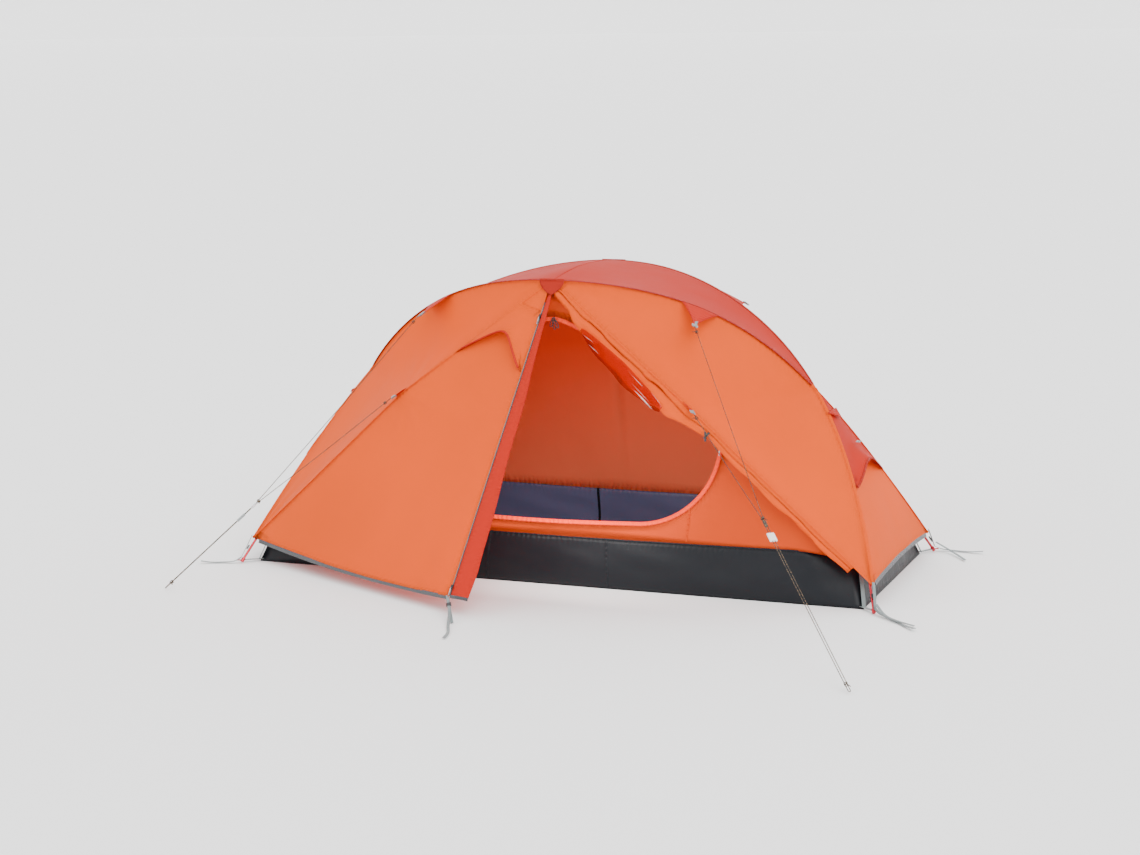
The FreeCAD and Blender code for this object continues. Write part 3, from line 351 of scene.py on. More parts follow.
def cord_finish(name, dark, light):
    """Braided cord: flecks of a light yarn in a dark braid."""
    shop = Finish(name)
    flecks = shop.noise(330.0, 1.0)
    braid = shop.noise(1500.0, 1.0)
    fleck = ((flecks - 0.53) * 22.0).held()
    tone = shop.blended(fleck, dark, light)
    tone = shop.blended((braid * 0.6).held(), tone, shade(dark, 0.6))
    return shop.surface(tone, (braid * 0.2 + 0.6).held(), shop.relief(braid * 0.0003))


def film_finish(name):
    """Clear window film, folded: long streaks of pale gloss over what lies behind it, painted highlights for
    its glints; the same streaks bump the gloss.
    """
    shop = Finish(name)
    spot = shop.node("CombineXYZ", None, {"X": shop.noted("run") * 4.0, "Y": shop.noted("seam") * 80.0})
    crease = shop.noise(1.0, 2.0, place=spot.outputs[0])
    clear = shop.node("BsdfTransparent", None, {"Color": (0.84, 0.55, 0.42)})
    # the pale base colour here is painted highlight: the film's glints, not a colour of the film
    painted_glint_gloss = shop.node("BsdfPrincipled", None, {"Base Color": (0.62, 0.50, 0.46), "Roughness": 0.07})
    painted_glint_gloss.inputs["Coat Weight"].default_value = 1.0
    painted_glint_gloss.inputs["Coat Roughness"].default_value = 0.03
    shop.put(painted_glint_gloss.inputs["Normal"], shop.relief(crease * 0.004))
    both = shop.node("MixShader")
    # painted highlight: the streak noise sets where the clear film turns to pale gloss
    shop.put(both.inputs[0], ((crease - 0.60) * 9.0 + 0.07).held())
    shop.put(both.inputs[1], clear.outputs[0])
    shop.put(both.inputs[2], painted_glint_gloss.outputs[0])
    shop.put(shop.out.inputs["Surface"], both.outputs[0])
    return shop.material


ORANGE = (0.86, 0.118, 0.003)
RED = (0.52, 0.022, 0.008)
FINISHES = {
    "fly_cloth_orange": cloth_finish("orange_fly_cloth", ORANGE, 0.42, (1.0, 0.17, 0.01)),
    "fly_cloth_red": cloth_finish("red_fly_cloth", RED, 0.32, (0.95, 0.10, 0.04)),
    "red_seam": cloth_finish("red_seam_cloth", shade(RED, 0.68), 0.15, (0.85, 0.05, 0.02)),
    "inner_cloth": cloth_finish("orange_inner_cloth", (0.66, 0.075, 0.006), 0.4, (1.0, 0.16, 0.02),
                                pucker=0.0018, crumple=0.004),
    # painted light: a brighter copy of the inner cloth for the inner faces of the back wall and ends, paler
    # still towards the ground, as if lit through the doorway
    "inner_painted_lit": cloth_finish("painted_lit_inner_cloth", (0.88, 0.11, 0.02), 0.5, (1.0, 0.22, 0.07),
                              pucker=0.0018, crumple=0.004, painted_doorway_light_colour=(0.98, 0.36, 0.17)),
    "inner_roof_cloth": cloth_finish("red_inner_cloth", (0.85, 0.09, 0.02), 0.5, (1.0, 0.12, 0.03)),
    "tub_cloth": cloth_finish("black_tub_cloth", (0.0060, 0.0070, 0.0095), 0.0, None, 0.46,
                              crumple=0.006, sheen=0.0, coat=0.10),
    "tub_lining": cloth_finish("navy_tub_lining", (0.12, 0.15, 0.27), 0.0, None, 0.36,
                               crumple=0.006, coat=0.35),
    "hem_binding": webbing_finish("hem_tape", (0.030, 0.033, 0.038)),
    "webbing": webbing_finish("grey_webbing", (0.17, 0.21, 0.21)),
    "zip_piping": cloth_finish("zip_piping_cloth", (0.85, 0.05, 0.012), 0.0, None, 0.45, crumple=0.0005),
    "elastic": webbing_finish("black_elastic", (0.02, 0.02, 0.02)),
    "cord": cord_finish("flecked_cord", (0.010, 0.008, 0.006), (0.26, 0.16, 0.075)),
    "black_plastic": plastic_finish("black_moulding", (0.022, 0.022, 0.024)),
    "grey_plastic": plastic_finish("grey_moulding", (0.23, 0.25, 0.25)),
    "white_plastic": plastic_finish("white_moulding", (0.78, 0.78, 0.76), 0.42),
    "pole_metal": metal_finish("red_anodised_tube", (0.52, 0.012, 0.030), 0.26, 0.75, 0.3),
    "bare_metal": metal_finish("bare_tube", (0.66, 0.67, 0.69)),
    "slider_metal": metal_finish("zip_slider_metal", (0.055, 0.055, 0.058), 0.35),
    "pull_metal": metal_finish("zip_pull_metal", (0.42, 0.42, 0.43), 0.3),
    "window_film": film_finish("window_film"),
}


# ---------------------------------------------------------------- lines of the tent

def pole_line(u, side):
    """Line over a pole; u goes from foot (-1) to foot (1), side is +1 for feet at the back."""
    rise = sum(share * u ** power for power, share in RISE.items())
    drift = sum(share * u ** power for power, share in SIDE.items())
    out = -RIDGE_GAP / 2 + (RIDGE_GAP / 2 + FOOT_DEPTH / 2) * drift
    height = RIDGE_HEIGHT - (RIDGE_HEIGHT - FOOT_HEIGHT) * rise
    return Vector((u * FOOT_SPAN / 2, side * out, height))


def outward(u, side):
    lean = max(-1.0, min(1.0, pole_line(u, side).y / 0.08)) * 0.5
    return Vector((u, lean, math.sqrt(max(0.0, 1 - u * u)))).normalized()


def fly_line(u, side):
    return pole_line(u, side) + outward(u, side) * (FLY_GAP * u ** 8)


def hung_line(u, side):
    return pole_line(u, side) - outward(u, side) * (FLY_GAP + INNER_GAP - 0.010 * u ** 8)


def crossing(line_of):
    low, high = 0.3, 0.9
    for _ in range(40):
        middle = (low + high) / 2
        if line_of(middle, 1).y < 0:
            low = middle
        else:
            high = middle
    return low


def evenly(points, count):
    """As many points, evenly spaced along a line of points."""
    lengths = [0.0]
    for a, b in zip(points, points[1:]):
        lengths.append(lengths[-1] + (b - a).length)
    found = []
    index = 0
    for i in range(count):
        goal = lengths[-1] * i / (count - 1)
        while index < len(points) - 2 and lengths[index + 1] < goal:
            index += 1
        step = lengths[index + 1] - lengths[index]
        found.append(points[index].lerp(points[index + 1], (goal - lengths[index]) / step if step else 0))
    return found


def rounded(points, count, turns=3):
    """A line of points with its corners cut, evenly spaced."""
    for _ in range(turns):
        cut = [points[0]]
        for a, b in zip(points, points[1:]):
            cut += [a.lerp(b, 0.25), a.lerp(b, 0.75)]
        points = cut + [points[-1]]
    return evenly(points, count)


def ridge_half(line_of, count):
    """From the middle of the ridge to the crossing, on the door side."""
    last = crossing(line_of)
    return evenly([line_of(last * i / 120, 1) for i in range(121)], count)


def leg(line_of, low, count):
    """The front leg on the right, from the crossing down to a height."""
    first = crossing(line_of)
    points = [line_of(first + (1 - first) * i / 200, -1) for i in range(201)]
    kept = [point for point in points if point.z > low]
    a, b = kept[-1], points[len(kept)]
    kept.append(a.lerp(b, (a.z - low) / (a.z - b.z)))
    return evenly(kept, count)


def facing(points, along=1, across=-1):
    """A line of the front right quarter, turned to another quarter of the tent."""
    return [Vector((point.x * along, -point.y * across, point.z)) for point in points]


HALF = 44                           # rows above the crossing or the tab, and as many below


def seam_line(along=1, across=-1):
    points = ridge_half(fly_line, HALF) + leg(fly_line, HEM_HEIGHT, HALF)[1:]
    return facing(points, along, across)


def crease_line(along=1, across=-1):
    top = fly_line(0.0, 1)
    corner = leg(fly_line, HEM_HEIGHT, 3)[-1]
    upper = evenly([top, CREASE_TAB], HALF)
    lower = evenly([CREASE_TAB, corner], HALF)
    return facing(upper + lower[1:], along, across)


def door_line(count):
    top = fly_line(0.0, 1)
    return [top.lerp(DOOR_CORNER, i / (count - 1)) for i in range(count)]


def door_across():
    """Across the zip in the cloth, towards the open side."""
    top = fly_line(0.0, 1)
    heading = (DOOR_CORNER - top).normalized()
    tab = Vector((-CREASE_TAB.x, CREASE_TAB.y, CREASE_TAB.z))
    normal = (tab - top).cross(DOOR_CORNER - top).normalized()
    across = normal.cross(heading).normalized()
    return across if across.x > 0 else -across


# ---------------------------------------------------------------- cloth

def ruled(edge_a, edge_b, columns):
    return [[a.lerp(b, j / columns) for j in range(columns + 1)] for a, b in zip(edge_a, edge_b)]


def normals_of(grid, inside=MIDDLE):
    """Unit normals of a grid, pointing away from a point inside."""
    rows, columns = len(grid), len(grid[0])
    normals = []
    for i in range(rows):
        line = []
        for j in range(columns):
            down = grid[min(i + 1, rows - 1)][j] - grid[max(i - 1, 0)][j]
            over = grid[i][min(j + 1, columns - 1)] - grid[i][max(j - 1, 0)]
            normal = down.cross(over)
            line.append(normal.normalized() if normal.length > 1e-12 else Vector((0, 0, 1)))
        normals.append(line)
    probe = normals[rows // 2][columns // 2]
    if probe.dot(grid[rows // 2][columns // 2] - inside) < 0:
        normals = [[-normal for normal in line] for line in normals]
    return normals


def bell(share):
    return math.sin(math.pi * max(0.0, min(1.0, share)))


def swelled(grid, rise_at, inside=MIDDLE):
    """The grid moved along its normals by rise_at(down, over, point), in metres."""
    normals = normals_of(grid, inside)
    rows, columns = len(grid) - 1, len(grid[0]) - 1
    return [[point + normals[i][j] * rise_at(i / rows, j / columns, point)
             for j, point in enumerate(line)] for i, line in enumerate(grid)]


def folds(point, source, axis, count, depth, reach):
    """Height of tension folds that fan out from a pulled point."""
    arm = point - source
    far = arm.length
    if far < 1e-6:
        return 0.0
    turn = math.acos(max(-1.0, min(1.0, arm.normalized().dot(axis))))
    grow = min(1.0, far / 0.06) * math.exp(-(far / reach) ** 2)
    waver = noise.noise(point * 5.0) * 1.5
    return depth * grow * math.sin(turn * count + waver)


def crumples(point, depth, scale=6.0):
    return depth * noise.noise(point * scale)


def cloth_piece(name, grid, finish, sewn="lrtb", wall=CLOTH, inside=MIDDLE, ride="tent",
                lining=None):
    """Sheet mesh from a grid, with its run and its distance from the sewn edges kept on it."""
    rows, columns = len(grid), len(grid[0])
    normals = normals_of(grid, inside)
    i, j = rows // 2, columns // 2
    step_down = grid[min(i + 1, rows - 1)][j] - grid[i - 1][j]
    step_over = grid[i][min(j + 1, columns - 1)] - grid[i][j - 1]
    forward = step_down.cross(step_over).dot(normals[i][j]) > 0
    mesh = bpy.data.meshes.new(name)
    faces = []
    for a in range(rows - 1):
        for b in range(columns - 1):
            first = a * columns + b
            face = (first, first + columns, first + columns + 1, first + 1)
            faces.append(face if forward else face[::-1])
    mesh.from_pydata([tuple(point) for line in grid for point in line], [], faces)
    runs, gaps = measured(grid, sewn)
    for label, values in (("run", runs), ("seam", gaps)):
        layer = mesh.attributes.new(label, "FLOAT", "POINT")
        layer.data.foreach_set("value", values)
    mesh.polygons.foreach_set("use_smooth", [True] * len(mesh.polygons))
    piece = bpy.data.objects.new(name, mesh)
    bpy.context.collection.objects.link(piece)
    if wall:
        made = piece.modifiers.new("wall", "SOLIDIFY")
        made.thickness = wall
        made.offset = -1.0
    mesh.materials.append(FINISHES[finish])
    if lining:
        mesh.materials.append(FINISHES[lining])
        made.material_offset = 1
    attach(piece, ride)
    return piece


def measured(grid, sewn):
    """For each point: how far it is along its nearest sewn edge, and how far from it."""
    rows, columns = len(grid), len(grid[0])
    down = [[0.0] * columns for _ in range(rows)]
    over = [[0.0] * columns for _ in range(rows)]
    for i in range(rows):
        for j in range(columns):
            if i:
                down[i][j] = down[i - 1][j] + (grid[i][j] - grid[i - 1][j]).length
            if j:
                over[i][j] = over[i][j - 1] + (grid[i][j] - grid[i][j - 1]).length
    runs, gaps = [], []
    for i in range(rows):
        for j in range(columns):
            choices = []
            if "l" in sewn:
                choices.append((over[i][j], down[i][j]))
            if "r" in sewn:
                choices.append((over[i][-1] - over[i][j], down[i][j]))
            if "t" in sewn:
                choices.append((down[i][j], over[i][j]))
            if "b" in sewn:
                choices.append((down[-1][j] - down[i][j], over[i][j]))
            gap, run = min(choices) if choices else (0.5, down[i][j])
            runs.append(run)
            gaps.append(gap)
    return runs, gaps


def frames_along(path, outs):
    """Heading, outward and sideways directions at each point of a path."""
    found = []
    for i, point in enumerate(path):
        heading = (path[min(i + 1, len(path) - 1)] - path[max(i - 1, 0)]).normalized()
        out = outs[i] if isinstance(outs, list) else outs
        side = heading.cross(out).normalized()
        found.append((heading, side.cross(heading).normalized(), side))
    return found


def tube_mesh(name, path, outs, outline, finish, ride="tent"):
    """Solid strip along a path: outline is a ring of (sideways, outward) points."""
    count = len(outline)
    rings = []
    for point, (heading, out, side) in zip(path, frames_along(path, outs)):
        rings.append([point + side * a + out * b for a, b in outline])
    mesh = bpy.data.meshes.new(name)
    faces = []
    for i in range(len(rings) - 1):
        for j in range(count):
            k = (j + 1) % count
            faces.append((i * count + j, i * count + k, (i + 1) * count + k, (i + 1) * count + j))
    faces.append(tuple(range(count))[::-1])
    faces.append(tuple((len(rings) - 1) * count + j for j in range(count)))
    mesh.from_pydata([tuple(point) for ring in rings for point in ring], [], faces)
    lengths = [0.0]
    for a, b in zip(path, path[1:]):
        lengths.append(lengths[-1] + (b - a).length)
    half = max(abs(a) for a, b in outline)
    runs = [length for length in lengths for _ in outline]
    gaps = [half - abs(a) for _ in lengths for a, b in outline]
    for label, values in (("run", runs), ("seam", gaps)):
        layer = mesh.attributes.new(label, "FLOAT", "POINT")
        layer.data.foreach_set("value", values)
    work = bmesh.new()
    work.from_mesh(mesh)
    bmesh.ops.recalc_face_normals(work, faces=work.faces)
    work.to_mesh(mesh)
    work.free()
    piece = bpy.data.objects.new(name, mesh)
    bpy.context.collection.objects.link(piece)
    mesh.materials.append(FINISHES[finish])
    bpy.ops.object.select_all(action="DESELECT")
    piece.select_set(True)
    bpy.context.view_layer.objects.active = piece
    bpy.ops.object.shade_smooth_by_angle(angle=math.radians(42))
    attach(piece, ride)
    return piece


def flat_outline(width, thickness):
    w, t = width / 2, thickness / 2
    return [(-w, -t * 0.5), (-w * 0.93, -t), (w * 0.93, -t), (w, -t * 0.5),
            (w, t * 0.5), (w * 0.93, t), (w * 0.35, t * 1.12), (-w * 0.35, t * 1.12),
            (-w * 0.93, t), (-w, t * 0.5)]


def seam_band(name, path, outs, finish, width=0.010, rise=0.0016):
    """Folded and felled seam: a low rounded band over the join."""
    w = width / 2
    outline = [(-w, -0.0004), (w, -0.0004), (w * 0.92, rise * 0.45), (w * 0.5, rise * 0.9),
               (0.0, rise), (-w * 0.5, rise * 0.9), (-w * 0.92, rise * 0.45)]
    return tube_mesh(name, path, outs, outline, finish)


def strap(name, points, outs, width, finish="webbing", count=24, thickness=WEBBING):
    return tube_mesh(name, rounded(points, count), outs, flat_outline(width, thickness), finish)


def join_pieces(name, pieces):
    """Several small pieces of one finish made one object."""
    bpy.ops.object.select_all(action="DESELECT")
    for piece in pieces:
        piece.select_set(True)
    bpy.context.view_layer.objects.active = pieces[0]
    bpy.ops.object.join()
    pieces[0].name = name
    return pieces[0]


# ---------------------------------------------------------------- fly sheet

def declare_sheet(nodes=()):
    """Hides the CAD nodes that a piece stands for."""
    if nodes:
        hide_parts(*nodes)


def make_ridge():
    """Red strip over the ridge, held up at its middle by the short cross pole."""
    front = ridge_half(fly_line, 45)
    whole = [Vector((-p.x, p.y, p.z)) for p in front[::-1]] + front[1:]
    back = facing(whole, 1, 1)

    def rise(down, over, point):
        pole = 0.020 * math.exp(-(point.x / 0.10) ** 2)
        slack = -0.007 * bell(abs(point.x) / 0.83)
        return (pole + slack) * bell(over) + crumples(point, 0.0016) * bell(over)

    grid = swelled(ruled(whole[1:-1], back[1:-1], 22), rise)
    panel = cloth_piece("ridge_panel", grid, "fly_cloth_red", "lr")
    normals = normals_of(grid)
    for name, column in (("ridge_seam_front", 0), ("ridge_seam_back", -1)):
        path = [line[column] for line in grid]
        outs = [line[column] for line in normals]
        seam_band(name, path, outs, "red_seam", 0.014, 0.0024)
    middle = len(grid) // 2
    for across, face in ((-1, "front"), (1, "back")):
        apex = grid[middle][0 if across < 0 else -1]
        down, out = Vector((0, across * 0.40, -0.917)), Vector((0, across * 0.917, 0.40))
        patch = []
        for i in range(13):
            line = []
            for j in range(9):
                over = j / 8
                aside = (i - 6) * 0.0075 * (1 - over ** 2.2) + 0.006 * over * (across < 0)
                line.append(apex + Vector((aside, 0, 0)) + down * (0.060 * over - 0.003)
                            + out * (0.003 + 0.005 * over))
            patch.append(line)
        cloth_piece("ridge_patch_%s" % face, patch, "red_seam", "tb")
    seam_band("ridge_seam_across", grid[middle], normals[middle], "fly_cloth_red", 0.009)
    declare_sheet(nodes=["fly_ridge_panel"])


def make_uppers():
    """Panels between the poles' seams and the guyed creases, one in each quarter."""
    for along, hand in ((-1, "left"), (1, "right")):
        for across, face in ((-1, "front"), (1, "back")):
            seam = seam_line(along, across)
            crease = crease_line(along, across)
            tab = crease[HALF - 1]
            apex = Vector(crease[0])
            fan = (seam[HALF - 1] - tab).normalized()
            slope = (seam[HALF // 2] - apex).normalized()
            corner = crease[-1]
            up = (tab - corner).normalized()

            def rise(down, over, point):
                edge = bell(over) ** 0.7 * min(1.0, down * 12.0) * min(1.0, (1 - down) * 9.0 + 0.15)
                slack = -0.016 * bell(over) * bell(down ** 0.8)
                pulled = folds(point, tab, fan, 11, 0.0034, 0.20)
                pulled += folds(point, apex, slope, 15, 0.0026, 0.30)
                pulled += folds(point, corner, up, 17, 0.0030, 0.22)
                return slack + (pulled + crumples(point, 0.0022, 4.0)) * edge

            seam[0], crease[0] = seam[0].lerp(seam[1], 0.03), crease[0].lerp(crease[1], 0.03)
            grid = swelled(ruled(seam, crease, 26), rise)
            name = "%s_upper_%s" % (face, hand)
            panel = cloth_piece(name, grid, "fly_cloth_orange", "lr")
            normals = normals_of(grid)
            path = [line[-1] for line in grid]
            outs = [line[-1] for line in normals]
            bands = [seam_band("crease_seam_%s_%s" % (face, hand), path, outs, "fly_cloth_orange", 0.008)]
            legs = [line[0] for line in grid][HALF - 2:]
            outs = [line[0] for line in normals][HALF - 2:]
            bands.append(seam_band("leg_seam_%s_%s" % (face, hand), legs, outs, "fly_cloth_orange",
                                   0.011, 0.002))
            declare_sheet(nodes=["fly_%s_upper_%s" % (face, hand)])


def hem_dip(over, depth):
    return Vector((0, 0, -depth * bell(over)))


def make_vestibule():
    """Closed half of the door: from the left crease to the zip."""
    crease = crease_line(-1, -1)
    zip_edge = door_line(len(crease))
    across = door_across() * 0.0046
    zip_edge = [point - across for point in zip_edge]
    columns = 30
    crease[0], zip_edge[0] = crease[0].lerp(crease[1], 0.03), zip_edge[0].lerp(zip_edge[1], 0.25) + across
    grid = ruled(crease, zip_edge, columns)
    corner = crease[-1]
    toe = zip_edge[-1]
    up = (crease[HALF - 1] - corner).normalized()
    rise_up = (zip_edge[0] - toe).normalized()

    def rise(down, over, point):
        edge = min(1.0, over * 9.0) * min(1.0, (1 - over) * 9.0)
        slack = -0.013 * bell(over) * bell(down ** 1.3)
        pulled = folds(point, corner, up, 12, 0.0042, 0.32)
        pulled += folds(point, toe, rise_up, 12, 0.0036, 0.26)
        pulled += folds(point, crease[HALF - 1], -up, 9, 0.0028, 0.18)
        return slack + (pulled + crumples(point, 0.0030, 4.5)) * edge

    grid = swelled(grid, rise)
    rows = len(grid) - 1
    for i, line in enumerate(grid):
        share = max(0.0, i / rows - 0.72) / 0.28
        for j in range(columns + 1):
            line[j] = line[j] + hem_dip(j / columns, 0.019 * share * share)
    panel = cloth_piece("vestibule_panel", grid, "fly_cloth_orange", "lrb")
    normals = normals_of(grid)
    path = [line[-1] for line in grid]
    outs = [line[-1] for line in normals]
    bands = [seam_band("zip_edge_seam", path[4:], outs[4:], "fly_cloth_orange", 0.007)]
    bands.append(hem_tape("hem_tape_front", grid[-1][1:], normals[-1][1:]))
    declare_sheet(nodes=["fly_vestibule_panel", "fly_hem_bindings"])
    return grid, normals


def hem_tape(name, line, outs):
    """Dark tape folded over a hem."""
    path = [point + Vector((0, 0, -HEM_BINDING * 0.35)) for point in line]
    h, t = HEM_BINDING * 0.62, 0.0016
    outline = [(-h, -t), (h, -t), (h * 1.05, 0.0), (h, t), (h * 0.3, t * 1.2), (-h, t), (-h * 1.05, 0.0)]
    return tube_mesh(name, path, outs, outline, "hem_binding")


def make_back():
    """Closed back of the fly, drawn out to a peg at its middle."""
    left = crease_line(-1, 1)
    right = crease_line(1, 1)
    top = fly_line(0.0, -1)
    spine = [top.lerp(BACK_CORNER, i / (len(left) - 1)) for i in range(len(left))]
    columns = 20
    grid = []
    for a, b, c in zip(left[2:], spine[2:], right[2:]):
        grid.append([a.lerp(b, j / columns) for j in range(columns)]
                    + [b.lerp(c, j / columns) for j in range(columns + 1)])

    def rise(down, over, point):
        half = abs(over - 0.5) * 2
        edge = min(1.0, (1 - half) * 9.0)
        slack = -0.014 * bell(half) * bell(down)
        pulled = folds(point, left[-1], Vector((0.3, 0, 0.95)), 12, 0.004, 0.3)
        pulled += folds(point, right[-1], Vector((-0.3, 0, 0.95)), 12, 0.004, 0.3)
        pulled += folds(point, BACK_CORNER, Vector((0, -0.5, 0.86)), 14, 0.003, 0.3)
        return slack + (pulled + crumples(point, 0.003, 4.5)) * edge

    grid = swelled(grid, rise)
    rows = len(grid) - 1
    for i, line in enumerate(grid):
        share = max(0.0, i / rows - 0.72) / 0.28
        for j in range(len(line)):
            half = abs(j / (len(line) - 1) - 0.5) * 2
            line[j] = line[j] + hem_dip(half, 0.014 * share * share)
    panel = cloth_piece("back_panel", grid, "fly_cloth_orange", "lrb")
    normals = normals_of(grid)
    spine_path = [line[columns] for line in grid]
    bands = [seam_band("back_seam", spine_path, [line[columns] for line in normals],
                       "fly_cloth_orange", 0.009)]
    bands.append(hem_tape("hem_tape_back", grid[-1][1:-1], normals[-1][1:-1]))
    declare_sheet(nodes=["fly_back_panel"])


def make_ends():
    """Both ends: a red upper panel that ends in a bowed vent hood, and an orange panel below it."""
    for along, hand in ((-1, "left"), (1, "right")):
        front = leg(fly_line, HEM_HEIGHT, 90)
        split = next(i for i, point in enumerate(front) if point.z < 0.352)
        columns = 24
        back = facing(front, 1, 1)
        front, back = facing(front, along), facing(back, along)

        def red_rise(down, over, point):
            lip = max(0.0, (down - 0.62) / 0.38)
            gape = 0.030 * lip * lip * bell(over) ** 0.8
            return 0.004 * bell(over) + gape + crumples(point, 0.002) * bell(over)

        grid = ruled(front[1:split + 1], back[1:split + 1], columns)
        height = len(grid) - 1
        lifted = []
        for i in range(height + 1):
            line = []
            for j in range(columns + 1):
                share = i / height
                at = share * (1 - 0.19 * bell(j / columns) ** 1.4) * height
                low = min(height - 1, int(at))
                line.append(grid[low][j].lerp(grid[low + 1][j], at - low))
            lifted.append(line)
        grid = swelled(lifted, red_rise)
        upper = cloth_piece("end_upper_%s" % hand, grid, "fly_cloth_red", "lrb")
        normals = normals_of(grid)
        bands = [seam_band("end_hood_lip_%s" % hand, grid[-1][1:-1], normals[-1][1:-1],
                           "red_seam", 0.009, 0.0026)]
        declare_sheet(nodes=["fly_end_upper_%s" % hand] + (["fly_vent_hoods"] if along > 0 else []))
        start = int(split * 0.80)

        def low_rise(down, over, point):
            sink = -0.004 * max(0.0, 1 - down * 6)
            pulled = folds(point, front[-1], Vector((0, 0.4, 0.9)), 10, 0.003, 0.2)
            pulled += folds(point, back[-1], Vector((0, -0.4, 0.9)), 10, 0.003, 0.2)
            return sink + (0.006 * bell(down) + pulled + crumples(point, 0.0025)) * bell(over) ** 0.6

        grid = swelled(ruled(front[start:], back[start:], columns), low_rise)
        rows = len(grid) - 1
        for i, line in enumerate(grid):
            share = max(0.0, i / rows - 0.6) / 0.4
            for j in range(columns + 1):
                line[j] = line[j] - hem_dip(j / columns, 0.018 * share * share)
        lower = cloth_piece("end_lower_%s" % hand, grid, "fly_cloth_orange", "lrb")
        normals = normals_of(grid)
        tape = hem_tape("hem_tape_%s" % hand, grid[-1][1:-1], normals[-1][1:-1])
        declare_sheet(nodes=["fly_end_lower_%s" % hand])


def make_hood(grid, normals):
    """Bowed vent hood over the top of the closed door half. Its red lip band and a red strip just inside the
    lip are painted shade, darker than the orange, for the shadow under the lip.
    """
    rows, columns = len(grid) - 1, len(grid[0]) - 1
    lines = 22
    cover = []
    for i in range(lines + 1):
        share = i / lines
        line = []
        for j in range(columns + 1):
            over = j / columns
            lip = 0.300 + 0.020 * (1 - over) - 0.105 * bell(over ** 0.85)
            at = (0.10 + (lip - 0.10) * share) * rows
            low = min(rows - 1, int(at))
            point = grid[low][j].lerp(grid[low + 1][j], at - low)
            normal = normals[low][j]
            stand = 0.0016 + 0.034 * share ** 1.7 * bell(over) ** 0.6
            line.append(point + normal * stand)
        cover.append(line)
    hood = cloth_piece("door_hood", cover, "fly_cloth_orange", "lrtb")
    outs = normals_of(cover)
    # painted shade: red band along the hood's lip, darker than the orange hood, for the shadow line under the
    # lip
    lip_band = seam_band("door_hood_lip", cover[-1][1:-1], outs[-1][1:-1], "fly_cloth_red", 0.007, 0.0024)
    # painted shade: a strip of red cloth just inside the lip stands for the shadowed opening of the vent
    under = []
    for i in range(7):
        line = []
        for j in range(columns + 1):
            line.append((cover[-1][j] - outs[-1][j] * 0.003).lerp(cover[-5][j] - outs[-5][j] * 0.012, i / 6))
        under.append(line)
    lining = cloth_piece("door_hood_lining", under, "fly_cloth_red", "t")
    declare_sheet()
    declare_sheet()


def make_door_edge():
    """Zip with its teeth along the closed half, and the red storm flap beside it."""
    across = door_across()
    whole = door_line(97)
    heading = (whole[-1] - whole[0]).normalized()
    out = heading.cross(across).normalized()
    if out.y > 0:
        out = -out
    path = whole[7:]
    outline = [(-0.0039, -0.0004), (0.0039, -0.0004), (0.0039, 0.0003), (0.0012, 0.0005),
               (0.0, 0.0002), (-0.0012, 0.0005), (-0.0039, 0.0003)]
    tape = tube_mesh("zip_tape", path, out, outline, "elastic")
    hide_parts("fly_zip_tape")
    bpy.ops.object.select_all(action="DESELECT")
    count = 300
    start, end = path[1], path[-1]
    spots = [start.lerp(end, (i + 0.5) / count) + across * (0.0007 if i % 2 else -0.0007) + out * 0.0005
             for i in range(count)]
    box_points, box_faces = [], []
    for spot in spots:
        first = len(box_points)
        for a in (-1, 1):
            for b in (-1, 1):
                for c in (-1, 1):
                    box_points.append(tuple(spot + heading * (a * 0.0009) + across * (b * 0.0011)
                                            + out * (c * 0.0006)))
        box_faces += [tuple(first + k for k in face) for face in
                      ((0, 1, 3, 2), (4, 6, 7, 5), (0, 4, 5, 1), (2, 3, 7, 6), (0, 2, 6, 4), (1, 5, 7, 3))]
    mesh = bpy.data.meshes.new("zip_teeth")
    mesh.from_pydata(box_points, [], box_faces)
    work = bmesh.new()
    work.from_mesh(mesh)
    bmesh.ops.recalc_face_normals(work, faces=work.faces)
    work.to_mesh(mesh)
    work.free()
    mesh.materials.append(FINISHES["grey_plastic"])
    teeth = bpy.data.objects.new("zip_teeth", mesh)
    bpy.context.collection.objects.link(teeth)
    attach(teeth, "tent")
    widths = ((0.0, 0.012), (0.17, 0.024), (0.36, 0.044), (0.50, 0.050), (0.72, 0.066), (0.92, 0.080),
              (1.0, 0.072))
    grid = []
    for i, point in enumerate(whole[5:], start=5):
        share = i / (len(whole) - 1)
        k = next(n for n in range(len(widths) - 1) if widths[n + 1][0] >= share)
        (s0, w0), (s1, w1) = widths[k], widths[k + 1]
        width = w0 + (w1 - w0) * (share - s0) / (s1 - s0)
        line = []
        for j in range(11):
            over = j / 10
            lift = 0.0012 + 0.004 * bell(over * 0.9) + 0.0022 * math.sin(share * 21 + over * 2.0) * over
            line.append(point + across * (0.0048 + width * over) + out * lift)
        grid.append(line)
    flap = cloth_piece("storm_flap", grid, "fly_cloth_red", "lr")
    foot = tube_mesh("storm_flap_end", list(grid[-1]), out, flat_outline(0.011, 0.0024), "hem_binding")
    declare_sheet(nodes=["fly_storm_flap"])


ROLL_HALVES = (0.010, 0.018, 0.031, 0.039, 0.041, 0.034, 0.011, 0.012, 0.012, 0.011, 0.010)


def roll_stations(count):
    """Points down the right crease, middles of the roll under it, and its half widths."""
    crease = crease_line(1, -1)
    towards = Vector((-0.75, -0.16, -0.66)).normalized()
    seam, middles, halves = [], [], []
    for i in range(count):
        share = 0.035 + 0.915 * i / (count - 1)
        at = share * (len(crease) - 1)
        low = int(at)
        on_crease = crease[low].lerp(crease[low + 1], at - low)
        spot = share * 10.6
        k = min(len(ROLL_HALVES) - 2, int(spot))
        half = ROLL_HALVES[k] + (ROLL_HALVES[k + 1] - ROLL_HALVES[k]) * (spot - k)
        seam.append(on_crease)
        middles.append(on_crease + towards * (half + 0.012))
        halves.append(half)
    return seam, middles, halves


